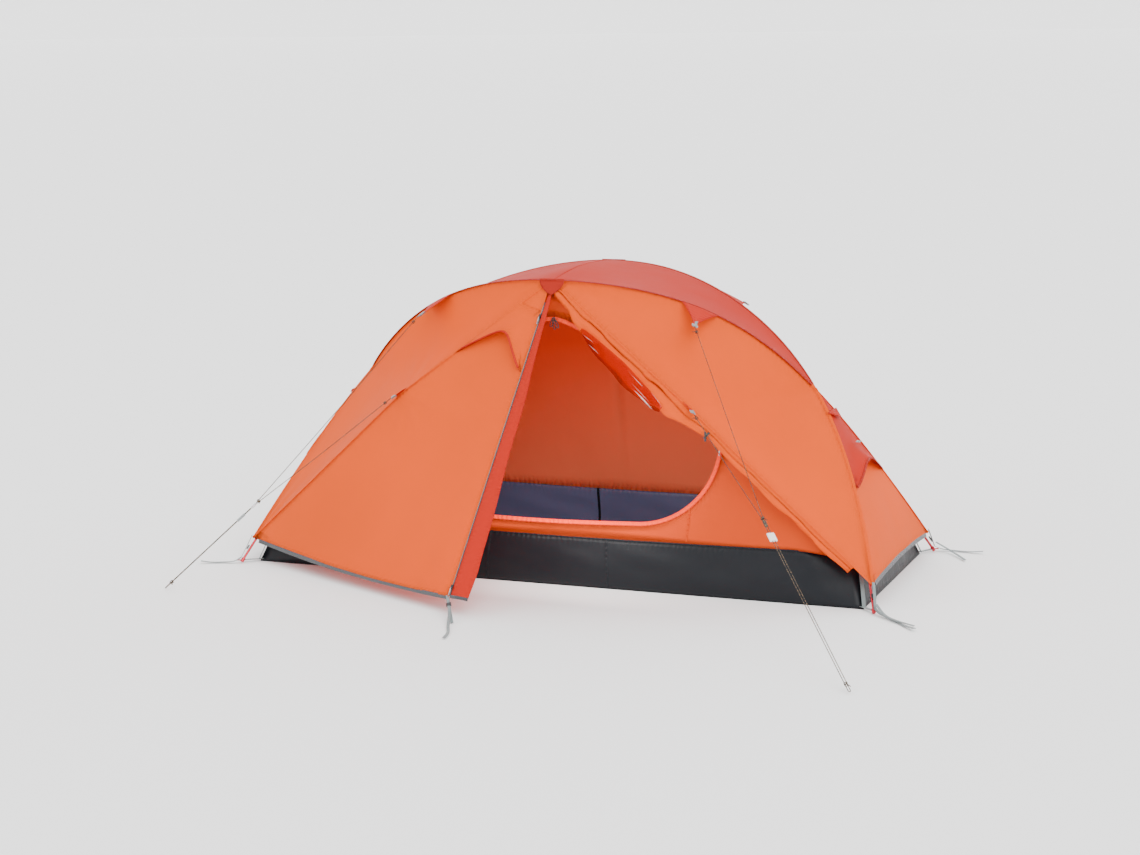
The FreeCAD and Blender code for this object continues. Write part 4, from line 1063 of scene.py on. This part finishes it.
def make_rolled_door():
    """Right half of the door, rolled up loosely to its crease and held by a toggle."""
    seam, middles, halves = roll_stations(90)
    turns, columns = 3.1, 68
    grid = []
    for i, (on_crease, middle, half) in enumerate(zip(seam, middles, halves)):
        heading = (middles[min(i + 1, 89)] - middles[max(i - 1, 0)]).normalized()
        wide = on_crease - middle
        wide = (wide - heading * wide.dot(heading)).normalized()
        thick = wide.cross(heading).normalized()
        if thick.y > 0:
            thick = -thick
        line = []
        down = i / 89
        pinch = 1 - 0.25 * math.exp(-((down - 0.53) / 0.03) ** 2)
        for j in range(columns + 1):
            over = j / columns
            angle = 2 * math.pi * turns * over
            size = half * pinch * (0.35 + 0.65 * over)
            deep = min(half, 0.017) * 0.9 * pinch * (0.35 + 0.65 * over)
            twist = math.sin(angle + down * 46.0) * 0.0042 + math.sin(angle * 2.0 - down * 31.0) * 0.0026
            ruck = noise.noise(Vector((down * 26.0, math.cos(angle) * 1.2, math.sin(angle) * 1.2))) * 0.008
            grow = (twist + ruck) * over * min(1.0, half / 0.016)
            line.append(middle + wide * ((size + grow) * math.cos(angle))
                        + thick * ((deep + grow) * math.sin(angle)))
        tail = line[-1]
        root = on_crease + (middle - on_crease).normalized() * 0.002
        for share in (0.34, 0.67, 1.0):
            line.append(tail.lerp(root, share))
        grid.append(line)
    roll = cloth_piece("rolled_door", grid, "fly_cloth_orange", "r", inside=middles[45])
    declare_sheet(nodes=["fly_rolled_door"])
    film = []
    for i in range(12, 42):
        line = []
        share = (i - 12) / 29
        heading = (middles[i + 1] - middles[i - 1]).normalized()
        wide = seam[i] - middles[i]
        wide = (wide - heading * wide.dot(heading)).normalized()
        thick = wide.cross(heading).normalized()
        if thick.y > 0:
            thick = -thick
        for j in range(9):
            over = j / 8
            angle = math.radians(70 + 105 * over)
            size = halves[i] * 1.05 + 0.003 + 0.003 * math.sin(share * 17 + over * 4)
            deep = min(halves[i], 0.017) * 0.9 + 0.0045
            narrow = 0.25 + 0.75 * bell(share) ** 0.6
            angle = math.radians(122) + (angle - math.radians(122)) * narrow
            line.append(middles[i] + wide * (size * math.cos(angle)) + thick * (deep * math.sin(angle)))
        film.append(line)
    window = cloth_piece("door_window", film, "window_film", "l", wall=0.0004, inside=middles[26])
    declare_sheet()


# ---------------------------------------------------------------- inner tent and tub

def wall_point(along, height, out=0.0):
    """Point of the leaning front wall of the inner tent, by its height up the cloth."""
    up = Vector((0, WALL_LEAN, 1)).normalized()
    foot = Vector((along, -FLOOR_WIDTH / 2 + 0.016, TUB_HEIGHT))
    return foot + up * height + Vector((0, -1, WALL_LEAN)).normalized() * out


def tub_top(along, corner=TUB_CORNER):
    """Top edge of the front of the tub."""
    bend = corner.x * 0.84
    if abs(along) <= bend:
        point = wall_point(along, 0)
        point.z -= 0.008 * bell((along + bend) / (2 * bend))
        return point
    share = (abs(along) - bend) / (corner.x - bend)
    end = Vector((math.copysign(corner.x, along), corner.y, corner.z))
    return wall_point(math.copysign(bend, along), 0).lerp(end, share)


def roof_edge(count):
    """Where the hung roof's front slope meets the front wall, on the right: seam points and edge points."""
    seam = ridge_half(hung_line, count) + leg(hung_line, TUB_CORNER.z, count)[1:]
    top = fly_line(0.0, 1)
    corner = leg(fly_line, HEM_HEIGHT, 3)[-1]
    crease = evenly([top, CREASE_TAB], count) + evenly([CREASE_TAB, corner], count)[1:]
    inward = Vector((-0.3, 0.8, -0.5)) * (INNER_GAP * 1.3)
    crease = [point + inward for point in crease]
    foot = wall_point(0, 0)
    behind = Vector((0, 1, -WALL_LEAN)).normalized()
    edge = []
    for i, (a, b) in enumerate(zip(seam, crease)):
        deep_a, deep_b = (a - foot).dot(behind), (b - foot).dot(behind)
        if i == 0:
            edge.append(a + Vector((0, -1, -0.15)) * (deep_a / 0.985))
        elif deep_b < 0 < deep_a:
            edge.append(a.lerp(b, deep_a / (deep_a - deep_b)))
        else:
            edge.append(b)
    return seam, edge


def mirror_whole(half):
    return [Vector((-p.x, p.y, p.z)) for p in half[::-1]] + half[1:]


def doorway_outline():
    """Edge of the inner door's opening as (along, height up the wall), anticlockwise from its left foot."""
    low = DOOR_ARC_HEIGHT - DOOR_RADIUS
    ring = [(DOOR_LEFT + (DOOR_ARC_ALONG - DOOR_LEFT) * i / 24, low - 0.010 * bell(i / 24))
            for i in range(25)]
    for i in range(1, 25):
        turn = -math.pi / 2 + math.pi / 2 * i / 24
        ring.append((DOOR_ARC_ALONG + DOOR_RADIUS * math.cos(turn),
                     DOOR_ARC_HEIGHT + DOOR_RADIUS * math.sin(turn)))
    right = DOOR_ARC_ALONG + DOOR_RADIUS
    rise = [Vector((right, DOOR_ARC_HEIGHT, 0)), Vector((right - 0.012, DOOR_ARC_HEIGHT + 0.06, 0)),
            Vector((DOOR_ARC_ALONG - 0.06, DOOR_ARC_HEIGHT + 0.27, 0)),
            Vector((DOOR_ARC_ALONG - 0.23, DOOR_ARC_HEIGHT + 0.365, 0)),
            Vector((DOOR_ARC_ALONG - 0.345, DOOR_ARC_HEIGHT + 0.395, 0)),
            Vector((DOOR_LEFT + 0.15, DOOR_ARC_HEIGHT + 0.25, 0)),
            Vector((DOOR_LEFT, DOOR_ARC_HEIGHT + 0.09, 0))]
    ring += [(p.x, p.y) for p in rounded(rise, 40)[1:]]
    return ring


def make_inner():
    """Hung tent: two walls, two slopes, roof strip and two ends, with a doorway in the front wall."""
    seam, edge = roof_edge(26)
    usable = [i for i, p in enumerate(edge) if p.z - tub_top(min(p.x, TUB_CORNER.x)).z > 0.03]
    last = usable[-1]
    wall_top = mirror_whole(edge[:last + 1])
    slope_top = mirror_whole(seam[:last + 1])
    foot = [tub_top(max(-TUB_CORNER.x, min(TUB_CORNER.x, p.x))) for p in wall_top]
    gap = Vector((0, 0, 0.0015))

    def hang(down, over, point):
        return -0.010 * bell(over) * bell(down) + crumples(point, 0.004, 5.0) * bell(over) ** 0.5

    back_grid = swelled(ruled(facing(foot, 1, 1), [p - gap for p in facing(wall_top, 1, 1)], 16), hang)
    back = cloth_piece("inner_wall_back", back_grid, "inner_cloth", "lr", lining="inner_painted_lit")
    declare_sheet(nodes=["inner_back_wall"])
    for across, face in ((-1, "front"), (1, "back")):
        top = [p for p in facing(slope_top, 1, across)]
        low = [p for p in facing(wall_top, 1, across)]
        grid = swelled(ruled(top, low, 8), lambda down, over, point: -0.004 * bell(over))
        slope = cloth_piece("inner_slope_%s" % face, grid, "inner_roof_cloth", "lr")
        declare_sheet(nodes=["inner_%s_slope" % face])
    ridge = mirror_whole(ridge_half(hung_line, 40))
    grid = ruled(ridge[1:-1], facing(ridge[1:-1], 1, 1), 12)
    grid = swelled(grid, lambda down, over, point: -0.010 * bell(over))
    roof = cloth_piece("inner_roof_strip", grid, "inner_roof_cloth", "lr")
    declare_sheet(nodes=["inner_roof"])
    for along, hand in ((-1, "left"), (1, "right")):
        front = facing(leg(hung_line, TUB_CORNER.z, 40), along)
        grid = ruled(front[1:], facing(front[1:], 1, 1), 14)
        grid = swelled(grid, lambda down, over, point: -0.008 * bell(over))
        end = cloth_piece("inner_end_cloth_%s" % hand, grid, "inner_cloth", "lrb", lining="inner_painted_lit")
        declare_sheet(nodes=["inner_end_%s" % hand])
    make_front_wall(wall_top, foot)
    make_piping()


def make_front_wall(wall_top, foot):
    """Front wall around its doorway, gathered a little to the zip's piping."""
    base = wall_point(0, 0)
    up = Vector((0, WALL_LEAN, 1)).normalized()
    inner = doorway_outline()
    outer = [(p.x, (p - base).dot(up)) for p in foot] + [(p.x, (p - base).dot(up)) for p in wall_top[::-1]]
    heart = (0.10, 0.30)

    def angle(point):
        return math.atan2(point[1] - heart[1], point[0] - heart[0])

    def reach(ring, turn):
        """Distance from the heart to a ring of points in a direction."""
        ux, uy = math.cos(turn), math.sin(turn)
        best = 0.0
        for (ax, ay), (bx, by) in zip(ring, ring[1:] + ring[:1]):
            px, py = ax - heart[0], ay - heart[1]
            dx, dy = bx - ax, by - ay
            cross = ux * dy - uy * dx
            if abs(cross) < 1e-12:
                continue
            far = (px * dy - py * dx) / cross
            share = (px * uy - py * ux) / cross
            if far > 0 and -1e-6 <= share <= 1 + 1e-6:
                best = max(best, far)
        return best

    turns = sorted({round(angle(p), 5) for p in inner + outer} | {round(-math.pi + 2 * math.pi * i / 160, 5)
                                                                  for i in range(160)})
    grid = []
    for turn in turns + turns[:1]:
        near, far = reach(inner, turn), reach(outer, turn)
        line = []
        for j in range(13):
            size = near + (max(far, near + 0.004) - near) * j / 12
            point = (heart[0] + size * math.cos(turn), heart[1] + size * math.sin(turn))
            soft = crumples(Vector((point[0], point[1], 0)), 0.004, 7.0) * bell(j / 12)
            gather = 0.0016 * math.sin(turn * 140) * math.exp(-(size - near) / 0.03)
            line.append(wall_point(point[0], point[1], soft + gather * (1 if j else 0)))
        grid.append(line)
    wall = cloth_piece("inner_wall_front", grid, "inner_cloth", "lr", inside=Vector((0, 0.3, 0.4)))
    right = strap("inner_wall_seam", [wall_point(0.50, 0.004, 0.0012), wall_point(0.505, 0.06, 0.0014),
                                      wall_point(0.51, 0.13, 0.0012)],
                  Vector((0, -1, 0)), 0.006, "inner_cloth", 10, 0.0008)
    declare_sheet(nodes=["inner_front_wall"])


def make_piping():
    """Bright piping with its zip round the doorway."""
    ring = doorway_outline()
    path = [wall_point(x, h, 0.0012) for x, h in ring]
    lower = path[:-14]
    outs = Vector((0, -1, 0.1))
    band = tube_mesh("doorway_piping", evenly(lower, 150), outs,
                     [(-0.007, -0.0016), (0.007, -0.0016), (0.0072, 0.0012), (0.004, 0.0040),
                      (0.0, 0.0032), (-0.004, 0.0040), (-0.0072, 0.0012)], "zip_piping")
    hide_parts("inner_door_zip")


def make_tub():
    """Coated tub: floor, four walls drawn out at the corners, and seams."""
    half = (FLOOR_LENGTH / 2 - 0.001, FLOOR_WIDTH / 2 - 0.0002)
    lines = []
    for i in range(61):
        line = []
        for j in range(25):
            x, y = -half[0] + 2 * half[0] * i / 60, -half[1] + 2 * half[1] * j / 24
            inside = min(1.0, min(half[0] - abs(x), half[1] - abs(y)) * 14)
            lift = 0.0004 + (0.004 + 0.004 * noise.noise(Vector((x * 3.0, y * 5.0, 0.2)))) * inside
            line.append(Vector((x, y, lift)))
        lines.append(line)
    floor = cloth_piece("tub_floor_cloth", lines, "tub_cloth", "lrtb", inside=Vector((0, 0, 2)),
                        lining="tub_lining")
    declare_sheet(nodes=["tub_floor"])
    columns = 12
    rows = 80
    for across, face in ((-1, "front"), (1, "back")):
        grid = []
        for i in range(rows + 1):
            share = i / rows * 2 - 1
            top = tub_top(share * TUB_CORNER.x)
            foot = Vector((share * half[0], -half[1], 0.0012))
            line = []
            for j in range(columns + 1):
                over = j / columns
                point = foot.lerp(top, over)
                bulge = 0.007 * bell(over ** 0.7)
                point = point + Vector((0, -bulge * min(1.0, (1 - abs(share)) * 8), 0))
                line.append(point)
            grid.append(line)
        grid = [facing(line, 1, across) for line in grid]

        def rise(down, over, point):
            ends = min(1.0, min(down, 1 - down) * 10)
            ruck = crumples(Vector((point.x * 0.45, point.y, point.z * 2.2)), 0.0055, 9.0)
            drag = 0.002 * math.sin(point.x * 19 + point.z * 60)
            return (ruck + drag) * bell(over) * (0.35 + 0.65 * ends)

        grid = swelled(grid, rise)
        wall = cloth_piece("tub_side_%s" % face, grid, "tub_cloth", "r", lining="tub_lining")
        normals = normals_of(grid)
        for k, share in enumerate((0.405, 0.60) if across < 0 else (0.46,)):
            i = int(share * rows)
            seam_band("tub_seam_%s_%d" % (face, k), grid[i], normals[i], "tub_cloth", 0.009)
            if across > 0:
                inward = [-n for n in normals[i]]
                path = [p - n * 0.0012 for p, n in zip(grid[i], normals[i])]
                seam_band("tub_seam_inside_%d" % k, path, inward, "tub_cloth", 0.010, 0.002)
        edge = [line[-1] for line in grid]
        outs = [line[-1] for line in normals]
        seam_band("tub_top_seam_%s" % face, edge, outs, "tub_cloth", 0.006, 0.0014)
        declare_sheet(nodes=["tub_wall_%s" % face])
    for along, hand in ((-1, "left"), (1, "right")):
        grid = []
        for i in range(31):
            share = i / 30 * 2 - 1
            foot = Vector((along * half[0], half[1] * share, 0.0012))
            lift = 0.006 * bell(i / 30)
            top = Vector((along * (TUB_CORNER.x + lift), -TUB_CORNER.y * share, TUB_CORNER.z - lift))
            grid.append([foot.lerp(top, j / 10) for j in range(11)])

        def rise(down, over, point):
            ruck = crumples(Vector((point.x, point.y * 0.6, point.z * 2.0)), 0.006, 11.0)
            swell = 0.008 * bell(over ** 0.7) * bell(down) + ruck * bell(over)
            return swell * min(1.0, min(down, 1 - down) * 8)

        grid = swelled(grid, rise)
        wall = cloth_piece("tub_end_%s" % hand, grid, "tub_cloth", "lr", lining="tub_lining")
        declare_sheet(nodes=["tub_wall_%s" % hand])


# ---------------------------------------------------------------- webbing

def make_gussets():
    """Small red gussets on the seams that the guyline buckles hang from."""
    seam = ridge_half(fly_line, HALF)
    root = min(range(len(seam)), key=lambda i: abs(seam[i].x - 0.4708))
    made = []
    straps = []
    for along, hand in ((-1, "left"), (1, "right")):
        for across, face in ((-1, "front"), (1, "back")):
            upper_tip = Vector((0.502, -0.281, 0.897))
            lower_root = CREASE_TAB
            lower_tip = Vector((0.5391, -0.4327, 0.6339))
            rib = [seam[root + k] for k in range(-3, 4)]
            crease_heading = (leg(fly_line, HEM_HEIGHT, 3)[-1] - fly_line(0.0, 1)).normalized()
            low_rib = [lower_root + crease_heading * (0.009 * k) for k in range(-3, 4)]
            for label, base, tip, lift in (("upper", rib, upper_tip, 0.003),
                                           ("lower", low_rib, lower_tip, 0.002)):
                middle = base[3]
                pull = (tip - middle).normalized()
                width = (base[-1] - base[0]).normalized()
                end = [tip - width * 0.007 + width * (0.014 * k / 6) for k in range(7)]
                rows = 10
                grid = []
                for i in range(rows + 1):
                    share = i / rows
                    line = []
                    for k in range(7):
                        narrow = end[k] + (base[k] + Vector((0, 0, lift)) - end[k]) * (1 - share) ** 1.5
                        along_pull = middle + pull * ((tip - middle).length * share)
                        inner = 0.9 if 0 < i < rows else 0
                        point = narrow + pull * ((along_pull - narrow).dot(pull)) * inner
                        line.append(point + Vector((0, 0, 0.002 * math.sin(k * 2.1) * bell(share))))
                    grid.append(facing(line, along, across))
                name = "gusset_%s_%s_%s" % (label, face, hand)
                piece = cloth_piece(name, grid, "fly_cloth_red", "lr")
                wide, long = (0.11, 0.13) if label == "upper" else (0.055, 0.04)
                made.append((piece, (wide, long), grid))
                a, b = grid[-3][3], grid[-1][3] + (grid[-1][3] - grid[-3][3]).normalized() * 0.012
                straps.append(strap("tab_loop_%s_%s_%s" % (label, face, hand), [a, a.lerp(b, 0.5), b],
                                    Vector((0, 0, 1)), 0.014, "webbing", 6))
        face_line = leg(fly_line, HEM_HEIGHT, 60)
        low = min(range(60), key=lambda i: abs(face_line[i].z - 0.570))
        spot = Vector((face_line[low].x, 0, face_line[low].z + 0.0))
        tip = Vector((face_line[low].x + 0.030, 0, face_line[low].z - 0.012))
        grid = []
        for i in range(8):
            share = i / 7
            line = []
            for k in range(7):
                wide = (0.055 - 0.047 * share) * (k / 3 - 1)
                point = spot.lerp(tip, share) + Vector((0, wide, 0.010 * (1 - share) - abs(wide) * 0.05))
                line.append(point)
            grid.append(facing(line, along))
        piece = cloth_piece("gusset_end_%s" % hand, grid, "fly_cloth_red", "lr")
        made.append((piece, (0.10, 0.04), grid))
    for piece, flat, grid in made:
        area = sum(((grid[i + 1][j] - grid[i][j]).cross(grid[i][j + 1] - grid[i][j])).length
                   for i in range(len(grid) - 1) for j in range(len(grid[0]) - 1))
        wide, long = flat
        size = max(0.31 * wide * long, min(area, wide * long))
        declare_sheet()
    whole = join_pieces("tab_loops", straps)
    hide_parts("guy_tabs")


def make_corner_straps():
    """Webbing from the fly's and the tub's corners to each foot, with tails lying on the ground."""
    parts = []
    tails = {(-1, -1): [(-1.222, -0.468), (-1.262, -0.486), (-1.296, -0.502)],
             (1, -1): [(1.222, -0.492), (1.282, -0.560), (1.330, -0.612)],
             (1, 1): [(1.226, 0.470), (1.276, 0.466), (1.325, 0.462)],
             (-1, 1): [(-1.222, 0.470), (-1.262, 0.486), (-1.290, 0.500)]}
    second = {(1, -1): [(1.206, -0.500), (1.262, -0.540), (1.318, -0.566)],
              (1, 1): [(1.212, 0.436), (1.252, 0.384), (1.288, 0.334)]}
    for (along, side), tail in tails.items():
        foot = Vector((along * (1.1544 if side < 0 else 1.1455), side * 0.441, FOOT_HEIGHT))
        out = Vector((along * 0.75, side * 0.66, 0)).normalized()
        hem = leg(fly_line, HEM_HEIGHT, 3)[-1]
        hem = Vector((hem.x * along, -hem.y * side, hem.z))
        low = foot + out * 0.010 + Vector((0, 0, 0.004))
        parts.append(strap("corner_strap", [hem + Vector((0, 0, 0.010)) + out * 0.003,
                                            hem.lerp(low, 0.5) + out * 0.004, low],
                           out, 0.012))
        ground = [low, foot + out * 0.036 + Vector((0, 0, -0.010))]
        ground += [Vector((x, y, 0.0035)) for x, y in tail]
        ground[-1].z = 0.010
        parts.append(strap("corner_tail", ground, Vector((0, 0, 1)), 0.012, "webbing", 30))
        if (along, side) in second:
            route = [foot + out * 0.016 + Vector((0, 0, 0.018))]
            for k, (x, y) in enumerate(second[(along, side)]):
                route.append(Vector((x, y, 0.012 - 0.003 * k)))
            parts.append(strap("corner_tail", route, Vector((0, 0, 1)), 0.010, "webbing", 30))
        tub = Vector((along * FLOOR_LENGTH / 2, side * FLOOR_WIDTH / 2, 0.008))
        parts.append(strap("tub_strap", [tub - out * 0.03, tub, foot + Vector((0, 0, -0.006))],
                           Vector((0, 0, 1)), 0.014))
        wall = Vector((along * TUB_CORNER.x, side * -TUB_CORNER.y, TUB_CORNER.z))
        parts.append(strap("tub_rib", [wall + out * 0.002, wall.lerp(tub, 0.5) + out * 0.006,
                                       tub + out * 0.003], out, 0.016))
    whole = join_pieces("corner_webbing", parts)
    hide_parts("corner_straps")
    peg = Vector((-0.098, -0.973, 0.003))
    corner = DOOR_CORNER
    heading = (peg - corner).normalized()
    start = corner + heading * 0.004 - door_across() * 0.008
    out = heading.cross(door_across()).normalized()
    out = out if out.y < 0 else -out
    loop = [strap("door_strap", [start - heading * 0.01, start.lerp(peg, 0.5), peg], out, 0.010),
            strap("door_tail", [start.lerp(peg, 0.38) + out * 0.004, start.lerp(peg, 0.72) + out * 0.010,
                                peg + Vector((0.006, -0.045, 0.004)), Vector((-0.060, -1.085, 0.0035)),
                                Vector((-0.047, -1.150, 0.006))],
                  Vector((0.2, -0.6, 0.7)), 0.010, "webbing", 30)]
    place = start.lerp(peg, 0.3)
    loop.append(strap("door_lock", [place - heading * 0.008, place, place + heading * 0.008], out, 0.017,
                      "black_plastic", 5, 0.0046))
    strapwork = join_pieces("door_webbing", loop[:2])
    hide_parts("door_corner_strap")


# ---------------------------------------------------------------- guylines

def add_cord(name, points, node=None, diameter=CORD):
    """Cord on one smooth open curve through the space of its route's points."""
    data = bpy.data.curves.new(name, "CURVE")
    data.dimensions = "3D"
    spline = data.splines.new("NURBS")
    spline.points.add(len(points) - 1)
    for target, point in zip(spline.points, points):
        target.co = (point.x, point.y, point.z, 1.0)
    spline.order_u = 3
    spline.use_endpoint_u = True
    data.bevel_depth = diameter / 2
    data.bevel_resolution = 3
    data.use_fill_caps = True
    data.materials.append(FINISHES["cord"])
    cord = bpy.data.objects.new(name, data)
    bpy.context.collection.objects.link(cord)
    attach(cord, "tent")
    if node:
        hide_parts(node)
    return cord


def knot(name, middle, heading, size=0.0042):
    """Small overhand knot with a short cut end."""
    side = heading.cross(Vector((0.3, 0.2, 1))).normalized()
    over = heading.cross(side)
    points = []
    for i in range(33):
        turn = 2 * math.pi * i / 32 * 2.0
        points.append(middle + heading * (size * 1.1 * math.sin(1.5 * turn)) + side * (size * math.cos(turn))
                      + over * (size * math.sin(turn)))
    points.append(points[-1] + side * 0.006 + Vector((0, 0, -0.002)))
    points.append(points[-1] + side * 0.007 + Vector((0, 0, -0.002)))
    ring = [(0.0012 * math.cos(a * math.pi / 3), 0.0012 * math.sin(a * math.pi / 3)) for a in range(6)]
    return tube_mesh(name, points, side.cross(heading) + over * 0.01, ring, "cord")


def make_guylines():
    tops = {-1: (Vector((-0.5057, -0.2951, 0.8937)), Vector((-0.5485, -0.4426, 0.6276))),
            1: (Vector((0.5057, -0.2951, 0.8937)), Vector((0.5485, -0.4426, 0.6276)))}
    meets = {-1: Vector((-0.967, -0.686, 0.273)), 1: Vector((0.912, -0.840, 0.370))}
    pegs = {-1: Vector((-1.221, -0.872, 0.007)), 1: Vector((1.307, -1.315, 0.007))}
    for along, hand in ((-1, "left"), (1, "right")):
        meet, peg = meets[along], pegs[along]
        stop = 0.0132 if along < 0 else 0.0135
        for label, top in zip(("upper", "lower"), tops[along]):
            towards = (top - meet).normalized()
            end = meet + towards * stop
            sag = Vector((0, 0, -0.004))
            points = [top, top.lerp(end, 0.04), top.lerp(end, 0.5) + sag, top.lerp(end, 0.96), end]
            near = 0.030 if label == "upper" else 0.045
            tie = knot("knot_%s_%s" % (hand, label), top.lerp(end, near), -towards)
            tail = knot("knot_low_%s_%s" % (hand, label), end + towards * 0.010, towards, 0.0034)
            add_cord("cord_%s_%s" % (hand, label), points,
                     node="guyline_%s_%s" % (hand, label))
        down = (peg - meet).normalized()
        across = down.cross(Vector((0, 0, 1))).normalized()
        a = across * (STRAND_GAP / 2)
        top = meet + down * stop
        points = [top + a, top + a + down * 0.2, peg + a - down * 0.015, peg + a * 0.9, peg - a * 0.9,
                  peg - a - down * 0.015, top - a + down * 0.2, top - a]
        tie = knot("knot_low_%s" % hand, peg - down * 0.030, -down, 0.0050)
        add_cord("cord_%s_anchor" % hand, points,
                 node="guyline_%s_anchor" % hand)


# ---------------------------------------------------------------- carried-over nodes

def make_doorway_pulls():
    """Black cord pulls of the inner door's zip, hanging at the top of its free corner."""
    hook = wall_point(0.012, 0.738, 0.008)
    ring = [(0.0016 * math.cos(a * math.pi / 3), 0.0016 * math.sin(a * math.pi / 3)) for a in range(6)]
    for k, (lean, drop) in enumerate(((-0.5, 0.034), (0.1, 0.042), (0.6, 0.036))):
        points = []
        for i in range(13):
            turn = 2 * math.pi * i / 12
            points.append(hook + Vector((lean * drop * (1 - math.cos(turn)) * 0.4 + 0.006 * math.sin(turn),
                                         -0.004 * k, -drop * (1 - math.cos(turn)) / 2)))
        tube_mesh("doorway_pull_%d" % k, points, Vector((0, -1, 0)), ring, "elastic")


def dress_nodes():
    """Finishes of the CAD nodes that stay in view."""
    worn = {
        "pole_metal": ["pole_back_footed_sections", "pole_front_footed_sections", "ridge_pole", "pole_feet"],
        "bare_metal": ["pole_ferrules", "pole_tips", "guy_ring"],
        "elastic": ["pole_shock_cords", "door_toggle_loop"],
        "black_plastic": ["pole_clips", "corner_buckles", "door_toggle"],
        "grey_plastic": ["guy_tab_buckles", "guy_tensioner_left"],
        "white_plastic": ["guy_tensioner_right"],
        "slider_metal": ["fly_zip_slider_lower", "fly_zip_slider_upper", "inner_zip_slider"],
        "pull_metal": ["fly_zip_pull_lower", "fly_zip_pull_upper", "inner_zip_pull"],
        "cord": ["guy_knots"],
    }
    for finish, names in worn.items():
        for name in names:
            node = bpy.data.objects[name]
            if not node.material_slots:
                node.data.materials.append(FINISHES[finish])
            for slot in node.material_slots:
                slot.material = FINISHES[finish]


add_camera()
make_guylines()
add_studio()
make_ridge()
make_uppers()
vestibule, vestibule_outs = make_vestibule()
make_hood(vestibule, vestibule_outs)
make_back()
make_ends()
make_door_edge()
make_rolled_door()
make_inner()
make_tub()
make_gussets()
make_corner_straps()
make_doorway_pulls()
dress_nodes()
